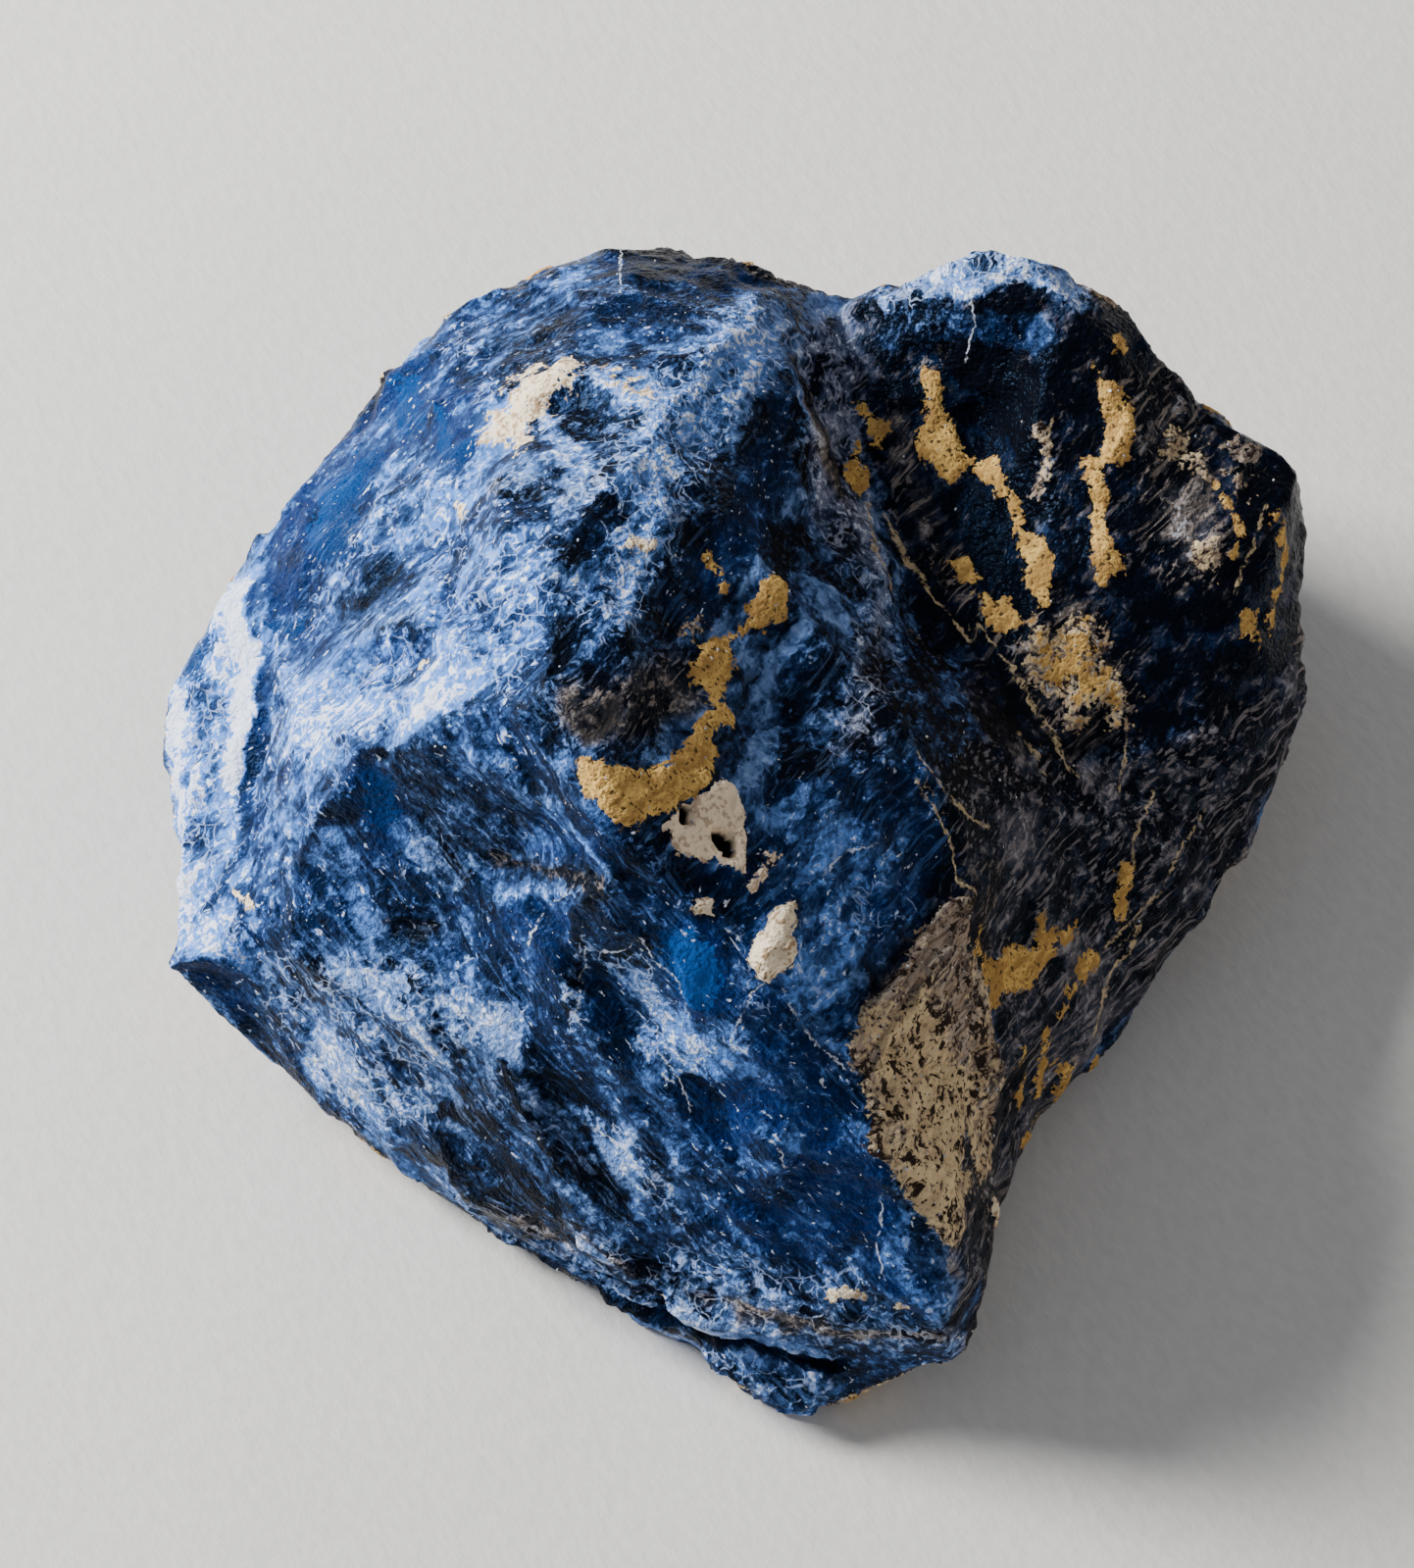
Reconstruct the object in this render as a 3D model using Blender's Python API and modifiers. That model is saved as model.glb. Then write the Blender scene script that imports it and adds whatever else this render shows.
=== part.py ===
"""A rough hand specimen of sodalite, one solid stone resting on a flat fracture face.

The stone is worked the way it broke. Spot heights along its ridges, valleys and outline are
joined into a faceted skin above and below the outline. Flat chips are struck off that skin,
hollows, grooves and lumps are worked into it, and the foot is ground flat.
Lengths are in millimetres until the mesh is scaled to metres at the end.
"""

import bpy
import bmesh
import numpy as np
from mathutils import Matrix, Vector, geometry, kdtree, noise

NODE_NAME = "sodalite_stone"
MM = 0.001

# Driving dimensions
APEX_HEIGHT = 46.0
SKIN_STEP = 1.0  # edge length of the worked skin
MOST_TRIANGLES = 8800
ROUNDING_PASSES = 4
OVERSIZE = 0.9  # extra skin that the breaks take off again
FOOT_GRIND = 0.5  # how much is ground off the lowest points to make the foot
HEAVY_CHIPS = {"count": 90, "radii": (5, 9), "depth": 0.05, "tilt": 0.12}
LIGHT_CHIPS = {"count": 520, "radii": (2.2, 4.6), "depth": 0.09, "tilt": 0.2}
THICKEST_CHIP = 0.25  # of the chip's radius
HACKLE_SIZE = 4.2
HACKLE_HEIGHT = 0.3
SEED = 27

# Corners that several ridges share
APEX = (-12, -4, APEX_HEIGHT)
WEST_TIP = (-39.5, -6, 11)
SOUTH_CORNER = (15.5, -32.5, 10)
EAST_TIP = (39, 26.5, 25)
SADDLE = (8, 41, 25)
SOUTH_NOTCH = (9, -33, 5)
VALLEY_END = (26.5, 7, 19)
SPUR_END = (21.5, 13.5, 23.5)

# The outline, seen from above, is where the upper and the lower skin meet
OUTLINE = [
    WEST_TIP, (-38.5, -1, 11), (-39, 4.5, 11), (-40.2, 11, 12), (-40.2, 17.5, 13), (-38, 22, 13),
    (-35, 25, 10), (-31.5, 31, 9), (-25.5, 38, 10), (-17, 43, 10), (-7, 46, 9), (2, 44, 8),
    (8.5, 43.5, 7), (15, 43.5, 8), (23, 41.5, 9), (29.5, 37.5, 9), (34, 33.5, 10), (39, 29.5, 12),
    (40.5, 26, 17), (40, 22.5, 18), (41, 19.5, 15), (39, 12, 13), (34.5, 3, 9), (30, -2.5, 7),
    (24, -11.5, 5), (19, -17.5, 5), (17, -22.5, 7), (17, -27.5, 8), (16.2, -32.5, 7),
    (12.5, -34, 6), SOUTH_NOTCH, (8.2, -35, 3), (5.5, -36.5, 2), (2, -35, 2), (-2, -32, 2),
    (-7.5, -28, 3), (-12.5, -25.5, 4), (-19, -21, 4), (-27, -14, 4), (-32, -9, 5),
]

# Where the flat foot ends
FOOT = [
    (-31, -3), (-33, 6), (-32, 18), (-27, 29), (-17, 38), (-4, 41), (12, 39), (25, 35), (33, 26),
    (34, 14), (27, 2), (18, -13), (12, -26), (5, -32), (-5, -27), (-17, -19), (-26, -11),
]

# Ridges and valleys, each a chain of spot heights
CHAINS = {
    "west ridge": [APEX, (-21, -3, 38), (-26.5, -2.5, 31), (-30.5, -4, 22), (-34.5, -5.5, 15), WEST_TIP],
    "north ridge": [APEX, (-11.5, 7.5, 45), (-7.5, 15.5, 43), (-2, 26.5, 38), (2.5, 36.5, 32), SADDLE],
    "south ridge": [
        APEX, (-9.5, -9.5, 44), (-7, -13.5, 41), (-2.5, -14.5, 38), (2.5, -18.5, 34),
        (7.5, -22.5, 29), (9.5, -27.5, 24), (13.5, -30.5, 18), SOUTH_CORNER,
    ],
    "back crest": [
        (-37, 20.5, 14), (-34, 22.5, 18), (-31, 27, 20), (-26.5, 32.5, 23), (-21.5, 37.5, 26),
        (-13, 41.5, 28), (-7, 42.5, 29), (1.5, 40, 30), SADDLE, (13, 39, 32), (17, 38, 35),
        (22, 37, 35), (26.5, 36, 31), (29.5, 33, 28), (35, 28.5, 26), EAST_TIP,
    ],
    "valley": [SADDLE, (8, 31, 25.5), (11, 22.5, 24), (15, 14.5, 22.5), (20.5, 10, 20.5), VALLEY_END],
    "east lobe ridge": [(22, 37, 35), (23.5, 34.5, 33), (21, 26.5, 29.5), (20.5, 19.8, 27), SPUR_END],
    "east lobe spur": [(13, 39, 32), (12, 34, 27), (14, 25, 25.2), (19, 16, 23), SPUR_END, VALLEY_END],
    "blue shelf edge": [
        (12.5, -1, 32), (15.5, -8.5, 28), (13.5, -12.5, 28), (8.5, -19.5, 29.5), (7.5, -22.5, 29),
    ],
    "lower lip": [
        (-27, -13.5, 6), (-18, -20.5, 8.5), (-12.5, -25, 10), (-7.5, -27.5, 10.5), (-0.5, -30, 10.5),
        (6.5, -32, 10.5), (12.5, -33, 10), SOUTH_CORNER,
    ],
    "shelf": [
        (-34, -7, 13), (-30, -8, 16), (-24, -9.5, 20.5), (-17.5, -11, 26), (-11.5, -13.5, 30.5),
        (-7, -15.5, 34), (-2.5, -14.5, 38),
    ],
    "hollow back": [(-31, -5.7, 18.5), (-26, -4.8, 25), (-21, -5.6, 29.5), (-15, -7, 34), (-11, -10.2, 38)],
    "foot ledge": [(-7.3, -28, 4.5), (-0.5, -31, 5.5), (6.5, -33, 6.5), SOUTH_NOTCH],
}

# Single spot heights on the faces between the ridges
SPOTS = [
    # west flank
    (-18.5, 26, 33), (-23.5, 15.5, 31.5), (-28.5, 9, 26), (-33.3, 9, 17), (-34, 1, 15.5),
    (-33.5, 17.5, 17.5), (-16, 12, 41), (-20, 4, 38),
    # dome
    (-13, 25, 37), (-10, 34, 34),
    # shaded face east of the north ridge
    (-3.5, 7, 41), (3.5, 25.5, 34), (1, -4, 36.5), (6.5, 8, 34), (7, -4, 34),
    # hollow between the two ridges of the east lobe
    (17, 31, 25),
    # east face
    (28, 29, 28.5), (30.5, 20, 24.5), (35, 19, 25), (28.5, 10.5, 22), (35, 10, 19),
    (30.5, 1.5, 15), (23.5, -4, 20), (16.5, -13.5, 24), (19.5, -13, 17), (24, -7.5, 13),
    (17, -18.5, 15), (13, -22, 22), (15.5, -26, 16),
    # south face
    (-24, -12.5, 17), (-16.5, -15.5, 20), (-9, -18.5, 26), (-2, -18.5, 31.5), (-7.5, -23, 18),
    (2, -25, 24.5), (7, -29, 19), (-28.5, -10.5, 12), (-21.5, -17.5, 12), (-14, -21.5, 15),
    (-1, -27, 18),
]

# Shell-shaped scars: a point on the skin, the radius of the ball that leaves the scar, its depth
SCARS = {
    "hollow under the west ridge": [
        ((-26.5, -5, 24), 8, 1.5), ((-22, -5, 30), 9, 2.0), ((-16, -7, 34), 8, 1.6),
    ],
    "lens below the hollow": [((-17, -9, 29), 6, 1.1)],
    "notch in the south face": [((-8, -17.5, 28.5), 4.5, 1.6), ((-6.5, -19.5, 26), 4, 1.0)],
    "step left of the south corner": [((6, -29, 19), 9, 0.9)],
    "crater on the dome": [((-12, 22, 38.5), 9, 1.0), ((-8, 26, 37), 6, 0.7)],
    "west facets": [((-30, 17, 22), 14, 0.9), ((-23, 18, 31), 12, 0.9), ((-24, 5, 32), 14, 1.0)],
    "dark bay of the east lobe": [((17, 26, 26), 7, 1.0)],
    "vug": [((-0.8, -11, 37.3), 1.8, 1.5), ((-3.3, -9.4, 39.2), 1.4, 0.8)],
}

# Grooves along the skin: a path, a width and a depth. A negative depth raises a rib.
GROOVES = {
    "undercut below the lip": [
        ([(-24, -17, 4.5), (-15.5, -23.5, 5.5), (-7.5, -28, 6.5)], 2.6, 1.7),
        ([(-7.5, -28, 6.5), (-0.5, -30.5, 7), (6.5, -33, 7.5)], 2.6, 1.9),
    ],
    "recess behind the west lip": [
        ([(-34.5, 23, 16), (-33.3, 14, 17.5), (-33.3, 7, 17), (-33.5, 0, 15.5)], 2.4, 1.3),
    ],
    "flutes of the south face": [
        ([(-18.5, -11, 25), (-12.5, -18, 21.5), (-7.5, -23, 18)], 2.6, 0.8),
        ([(-12.5, -11.5, 33), (-7, -17.5, 29.5), (-1.5, -23, 24.5), (3, -27, 21)], 2.4, 0.8),
        ([(-7, -14, 38), (-2, -17.5, 33.5), (3, -22.5, 28), (7, -26.5, 23)], 2.0, 0.6),
        ([(-23.5, -9.5, 21.5), (-18, -16, 18), (-12.5, -22, 15.5)], 2.4, -0.8),
        ([(-15, -11, 29), (-10, -18, 25.5), (-4.5, -23, 21)], 2.4, -0.9),
        ([(-3.5, -16, 35.5), (2, -20, 31.5), (6.5, -23.5, 27.5)], 1.8, -0.5),
        ([(-29.5, -8, 17), (-25, -13, 13)], 2.0, 0.5),
    ],
    "fan of the east flank": [
        ([(29, 8, 19), (23.5, -1, 20), (16.5, -11, 25)], 1.8, 0.7),
        ([(35.5, 12, 19), (29, 3, 16.5), (22, -8, 16)], 2.0, 0.8),
        ([(38, 18.5, 19), (32.5, 11, 20.5), (27, 5, 18.5)], 1.8, 0.6),
        ([(33, 17, 24), (28, 6, 20), (20, -6, 22)], 1.8, -0.6),
        ([(38, 14, 15), (32, 3, 13), (23, -9, 12)], 2.0, -0.7),
    ],
    "streaks of the west flank": [
        ([(-31, -3, 21.5), (-23, 1, 34), (-15, 7, 42)], 1.8, 0.5),
        ([(-29, 3.5, 26), (-21, 10.5, 35), (-14, 14.5, 40.5)], 2.0, -0.6),
        ([(-31, 10, 23), (-24, 16, 31), (-17, 22, 35)], 1.8, 0.6),
    ],
}

# Lumps of calcite standing on the skin: a point, a radius and a height
LUMPS = [((2.7, -17.3, 33.8), 2.3, 1.5), ((3.1, -15, 34.8), 1.5, 1.2), ((-2.3, -15, 37.3), 1.3, 0.5)]


def unique_points(groups):
    """Every point of the groups once, and the place of each in that list."""
    points = list(dict.fromkeys(tuple(map(float, p)) for group in groups for p in group))
    return points, {point: index for index, point in enumerate(points)}


def triangulate(points, chains, closed_outline):
    """Triangles between points seen from above, inside the outline, that keep every chain as edges."""
    _, index = unique_points([points])
    edges = []
    for chain in chains:
        run = [index[tuple(map(float, p))] for p in chain]
        edges += list(zip(run, run[1:]))
    ring = [index[tuple(map(float, p))] for p in closed_outline]
    edges += list(zip(ring, ring[1:] + ring[:1]))
    flat = [Vector(p[:2]) for p in points]
    inside_only = 1
    result = geometry.delaunay_2d_cdt(flat, edges, [], inside_only, 1e-4)
    if len(result[0]) != len(points):
        raise ValueError(f"chains cross: {len(result[0]) - len(points)} extra corners")
    origin = [found[0] for found in result[3]]
    return [tuple(origin[v] for v in face) for face in result[2]]


def faceted_stone():
    """The stone as its spot heights give it: an upper skin, and a lower skin down to the foot."""
    foot = [(x, y, 0) for x, y in FOOT]
    upper, _ = unique_points([OUTLINE, *CHAINS.values(), SPOTS])
    lower, _ = unique_points([OUTLINE, foot])
    mesh = bmesh.new()
    corners = {point: mesh.verts.new(point) for point in dict.fromkeys(upper + lower)}
    for points, chains, down in ((upper, CHAINS.values(), False), (lower, [foot + foot[:1]], True)):
        for triangle in triangulate(points, chains, OUTLINE):
            face = [corners[points[i]] for i in triangle]
            mesh.faces.new(face[::-1] if down else face)
    return mesh


def as_mesh(shape, name):
    """The bmesh as a mesh, with the bmesh freed."""
    mesh = bpy.data.meshes.new(name)
    shape.to_mesh(mesh)
    shape.free()
    return mesh


def with_modifier(mesh, kind, **settings):
    """The mesh after one modifier with these settings."""
    holder = bpy.data.objects.new("holder", mesh)
    bpy.context.scene.collection.objects.link(holder)
    modifier = holder.modifiers.new(kind.title(), kind)
    for setting, value in settings.items():
        setattr(modifier, setting, value)
    graph = bpy.context.evaluated_depsgraph_get()
    result = bpy.data.meshes.new_from_object(holder.evaluated_get(graph))
    bpy.data.objects.remove(holder)
    bpy.data.meshes.remove(mesh)
    return result


class Skin:
    """The vertices of a mesh as an array of places, with their normals and a search tree."""

    def __init__(self, mesh):
        self.mesh = mesh
        count = len(mesh.vertices)
        self.places = np.empty((count, 3), np.float32)
        mesh.vertices.foreach_get("co", self.places.ravel())
        self.renew()

    def renew(self):
        """Writes the places back to the mesh and reads the normals and the tree again."""
        self.mesh.vertices.foreach_set("co", self.places.ravel())
        self.mesh.update()
        self.normals = np.empty_like(self.places)
        self.mesh.vertex_normals.foreach_get("vector", self.normals.ravel())
        self.tree = kdtree.KDTree(len(self.places))
        for index, place in enumerate(self.places):
            self.tree.insert(place, index)
        self.tree.balance()

    def near(self, centre, reach):
        """Indices and distances of the vertices within reach of a point."""
        found = self.tree.find_range(centre, reach)
        return np.array([f[1] for f in found], int), np.array([f[2] for f in found])

    def surface_at(self, point):
        """The vertex nearest to a point, and the mean normal around it."""
        place, index, _ = self.tree.find(point)
        around, _ = self.near(place, 2.5 * SKIN_STEP)
        normal = self.normals[around].mean(axis=0)
        return np.array(place), normal / np.linalg.norm(normal)


def fade(distance, reach):
    """1 at no distance, falling smoothly to 0 at reach."""
    t = np.clip(1 - distance / reach, 0, 1)
    return t * t * (3 - 2 * t)


def strike_chips(skin, count, radii, depth, tilt, dice):
    """Flat chips struck off the skin at random. What stands above a chip's plane is pressed onto it."""
    for _ in range(count):
        index = dice.integers(len(skin.places))
        radius = dice.uniform(*radii)
        lean = dice.normal(0, tilt, 3)
        if skin.normals[index][2] < -0.75:
            continue
        centre = skin.places[index].copy()
        near, distance = skin.near(centre, radius)
        facing = skin.normals[near] @ skin.normals[index] > 0.2
        near, distance = near[facing], distance[facing]
        normal = skin.normals[near].mean(axis=0) + lean
        normal /= np.linalg.norm(normal)
        above = (skin.places[near] - centre) @ normal + depth * radius
        share = fade(np.maximum(distance - 0.6 * radius, 0), 0.4 * radius)
        skin.places[near] -= np.outer(np.clip(above, 0, THICKEST_CHIP * radius) * share, normal)
    skin.renew()


def strike_scoop(skin, point, ball, depth):
    """A shell-shaped scar: skin inside a ball that dips to depth is pushed out of the ball."""
    place, normal = skin.surface_at(point)
    centre = place + normal * (ball - depth)
    near, distance = skin.near(centre, ball)
    outward = (skin.places[near] - centre) / np.maximum(distance, 1e-6)[:, None]
    skin.places[near] = centre + outward * ball
    skin.renew()


def cut_groove(skin, path, width, depth):
    """A groove of this width and depth along a path near the surface. A negative depth raises a rib."""
    near_path = np.full(len(skin.places), np.inf)
    for start, end in zip(path, path[1:]):
        start, end = np.array(start, float), np.array(end, float)
        along = end - start
        t = np.clip((skin.places - start) @ along / (along @ along), 0, 1)
        gap = np.linalg.norm(skin.places - start - t[:, None] * along, axis=1)
        near_path = np.minimum(near_path, gap)
    skin.places -= skin.normals * (depth * fade(near_path, width))[:, None]
    skin.renew()


def raise_lump(skin, point, radius, height):
    """A rounded lump of this radius and height on the skin."""
    place, normal = skin.surface_at(point)
    near, distance = skin.near(place, radius)
    share = fade(np.maximum(distance - 0.4 * radius, 0), 0.6 * radius)
    skin.places[near] += np.outer(height * share, normal)
    skin.renew()


def hackle(skin, size, height):
    """Irregular relief of this size and height, like small broken steps."""
    for index, place in enumerate(skin.places):
        step = noise.cell(Vector(place) / size) - 0.5
        swell = noise.noise(Vector(place) / size)
        skin.places[index] += skin.normals[index] * height * (swell + 0.5 * step)
    skin.renew()


def work_skin(skin):
    """Breaks, hollows, grooves and lumps, in the order they overlie each other."""
    dice = np.random.default_rng(SEED)
    skin.places += skin.normals * OVERSIZE
    skin.renew()
    strike_chips(skin, dice=dice, **HEAVY_CHIPS)
    for scars in SCARS.values():
        for point, ball, depth in scars:
            strike_scoop(skin, point, ball, depth)
    for grooves in GROOVES.values():
        for path, width, depth in grooves:
            cut_groove(skin, path, width, depth)
    strike_chips(skin, dice=dice, **LIGHT_CHIPS)
    hackle(skin, HACKLE_SIZE, HACKLE_HEIGHT)
    for point, radius, height in LUMPS:
        raise_lump(skin, point, radius, height)


def grind_foot(mesh):
    """The mesh with everything below the foot plane cut away and closed by one flat face."""
    shape = bmesh.new()
    shape.from_mesh(mesh)
    everything = [*shape.verts, *shape.edges, *shape.faces]
    plane = Vector((0, 0, FOOT_GRIND))
    cut = bmesh.ops.bisect_plane(
        shape, geom=everything, dist=1e-4, plane_co=plane, plane_no=(0, 0, 1), clear_inner=True
    )
    rim = [item for item in cut["geom_cut"] if isinstance(item, bmesh.types.BMEdge)]
    bmesh.ops.holes_fill(shape, edges=rim, sides=0)
    bmesh.ops.triangulate(shape, faces=shape.faces)
    bpy.data.meshes.remove(mesh)
    return as_mesh(shape, NODE_NAME)


def stand_on_origin(mesh):
    """Scales the mesh to metres and puts the middle of its foot print on the origin."""
    corners = np.array([vertex.co for vertex in mesh.vertices])
    low, high = corners.min(axis=0), corners.max(axis=0)
    middle = (low + high) / 2
    mesh.transform(Matrix.Scale(MM, 4) @ Matrix.Translation((-middle[0], -middle[1], -low[2])))


def stone_material():
    """Sodalite: a deep blue with the soft sheen of a fresh break."""
    material = bpy.data.materials.new("sodalite")
    material.use_nodes = True
    shader = material.node_tree.nodes["Principled BSDF"]
    shader.inputs["Base Color"].default_value = (0.02, 0.055, 0.2, 1)
    shader.inputs["Roughness"].default_value = 0.5
    return material


def main():
    """Builds the stone in a collection of its own."""
    for item in list(bpy.data.objects):
        bpy.data.objects.remove(item)
    mesh = as_mesh(faceted_stone(), "skin")
    mesh = with_modifier(mesh, "REMESH", mode="VOXEL", voxel_size=SKIN_STEP)
    mesh = with_modifier(mesh, "SMOOTH", iterations=ROUNDING_PASSES, factor=0.5)
    skin = Skin(mesh)
    work_skin(skin)
    mesh = with_modifier(skin.mesh, "REMESH", mode="VOXEL", voxel_size=SKIN_STEP)
    mesh = with_modifier(mesh, "SMOOTH", iterations=2, factor=0.5)
    triangles = sum(len(face.vertices) - 2 for face in mesh.polygons)
    mesh = with_modifier(mesh, "DECIMATE", ratio=MOST_TRIANGLES / triangles)
    mesh = grind_foot(mesh)
    stand_on_origin(mesh)
    mesh.materials.append(stone_material())
    stone = bpy.data.objects.new(NODE_NAME, mesh)
    collection = bpy.data.collections.new("sodalite")
    bpy.context.scene.collection.children.link(collection)
    collection.objects.link(stone)


main()
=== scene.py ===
"""A rough hand specimen of sodalite: its broken skin, its loose grains, and the stage it lies on."""
import math

import bmesh
import bpy
import numpy as np
from bpy.props import FloatProperty, FloatVectorProperty, IntProperty, PointerProperty
from bpy.types import Operator, Panel, PropertyGroup
from mathutils import Matrix, Vector, kdtree, noise
from mathutils.bvhtree import BVHTree


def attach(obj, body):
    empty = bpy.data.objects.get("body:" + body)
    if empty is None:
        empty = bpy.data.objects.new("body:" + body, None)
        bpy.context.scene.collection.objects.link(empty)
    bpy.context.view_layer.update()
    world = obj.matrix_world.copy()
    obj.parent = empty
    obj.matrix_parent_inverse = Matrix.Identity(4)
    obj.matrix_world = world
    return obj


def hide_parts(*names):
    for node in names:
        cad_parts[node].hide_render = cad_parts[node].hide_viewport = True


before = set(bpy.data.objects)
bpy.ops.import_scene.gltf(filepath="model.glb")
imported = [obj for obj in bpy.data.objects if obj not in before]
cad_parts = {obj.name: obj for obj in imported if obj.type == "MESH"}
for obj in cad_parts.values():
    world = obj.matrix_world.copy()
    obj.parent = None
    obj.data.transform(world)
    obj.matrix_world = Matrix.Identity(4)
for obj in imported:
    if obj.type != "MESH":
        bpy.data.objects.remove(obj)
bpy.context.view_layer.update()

bl_info = {
    "name": "Sodalite specimen",
    "version": (1, 0, 0),
    "blender": (4, 5, 0),
    "location": "3D View > Sidebar > Sodalite",
    "description": "Dresses the solid of a rough sodalite stone and sets up its stage",
    "category": "Add Mesh",
}

STONE_NODE = "sodalite_stone"
MM = 0.001

# The stage camera, and the drawing sheet it sees. Marks on the stone are placed on that sheet.
SHEET_SIZE = (1442, 1599)
CAMERA_TARGET = (-2.03, -1.17, 19.5)  # mm
CAMERA_DISTANCE = 450.0  # mm
CAMERA_ELEVATION = 60.0
CAMERA_LENS = 150.0
CAMERA_SENSOR = 36.0

# Which way the stone splits on each face, from one end of a streak to the other, in mm
GRAIN = {
    "west": ((-31, -4, 21), (-15, 7, 42)),
    "south": ((-18, -11, 25), (-6, -23, 17)),
    "east": ((38, 18, 21), (17, -10, 23)),
    "lip": ((-18, -26, 9), (14, -38, 6)),
}

# Faces: corners on the sheet, how blue, how frosted, and which grain they split along
FACES = {
    "west flank": {
        "corners": [
            (165, 1000), (165, 850), (165, 670), (215, 600), (300, 500), (430, 320), (500, 300),
            (520, 380),
            (500, 470), (530, 560), (560, 640), (545, 700), (430, 750), (350, 800), (290, 890),
            (240, 960),
        ],
        "blue": 0.8, "frost": 0.56, "grain": "west",
    },
    "west lip": {
        "corners": [(150, 640), (262, 580), (262, 700), (255, 800), (245, 870), (215, 910), (160, 940)],
        "blue": 0.9, "frost": 1.15, "grain": "west",
    },
    "dome": {
        "corners": [
            (430, 320), (560, 260), (670, 235), (800, 260), (865, 300), (790, 310), (720, 370),
            (640, 470),
            (570, 560), (530, 560), (500, 470), (520, 380),
        ],
        "blue": 0.45, "frost": 0.36, "grain": "west",
    },
    "shaded face": {
        "corners": [
            (570, 560), (640, 470), (720, 370), (790, 300), (865, 290), (870, 420), (910, 530),
            (970, 640),
            (1000, 760), (940, 770), (860, 790), (780, 800), (700, 870), (640, 870), (600, 790),
            (560, 700),
        ],
        "blue": 0.25, "frost": 0.2, "grain": "east",
    },
    "south face": {
        "corners": [
            (560, 700), (600, 790), (640, 870), (710, 905), (790, 990), (865, 1085), (900, 1190),
            (955, 1270),
            (985, 1370), (850, 1480), (740, 1420), (560, 1300), (380, 1190), (270, 1070), (165, 1010),
            (240, 960), (290, 890), (350, 800), (430, 750),
        ],
        "blue": 0.6, "frost": 0.33, "grain": "south",
    },
    "lower lip": {
        "corners": [
            (455, 1195), (560, 1240), (650, 1282), (760, 1318), (870, 1340), (985, 1350), (985, 1378),
            (860, 1374), (740, 1348), (640, 1312), (560, 1277), (460, 1218),
        ],
        "blue": 0.05, "frost": 0.62, "grain": "lip",
    },
    "blue shelf": {
        "corners": [
            (780, 800), (940, 770), (985, 900), (960, 955), (880, 1040), (865, 1085), (790, 990),
            (710, 905), (700, 870),
        ],
        "blue": 0.66, "frost": 0.32, "grain": "east",
    },
    "east flank": {
        "corners": [
            (1000, 760), (1140, 770), (1290, 700), (1350, 600), (1350, 730), (1250, 900), (1150, 1060),
            (1060, 1200), (1030, 1320), (1000, 1370), (960, 1350), (983, 1259), (1007, 1170),
            (1018, 1073),
            (1004, 991), (985, 960), (985, 900), (940, 770),
        ],
        "blue": 0.08, "frost": 0.3, "grain": "east",
    },
    "east lobe": {
        "corners": [
            (865, 290), (905, 270), (990, 240), (1100, 270), (1190, 370), (1270, 430), (1350, 500),
            (1350, 600), (1290, 700), (1140, 770), (1000, 760), (970, 640), (910, 530), (870, 420),
        ],
        "blue": 0.08, "frost": -0.04, "grain": "east",
    },
}

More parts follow.
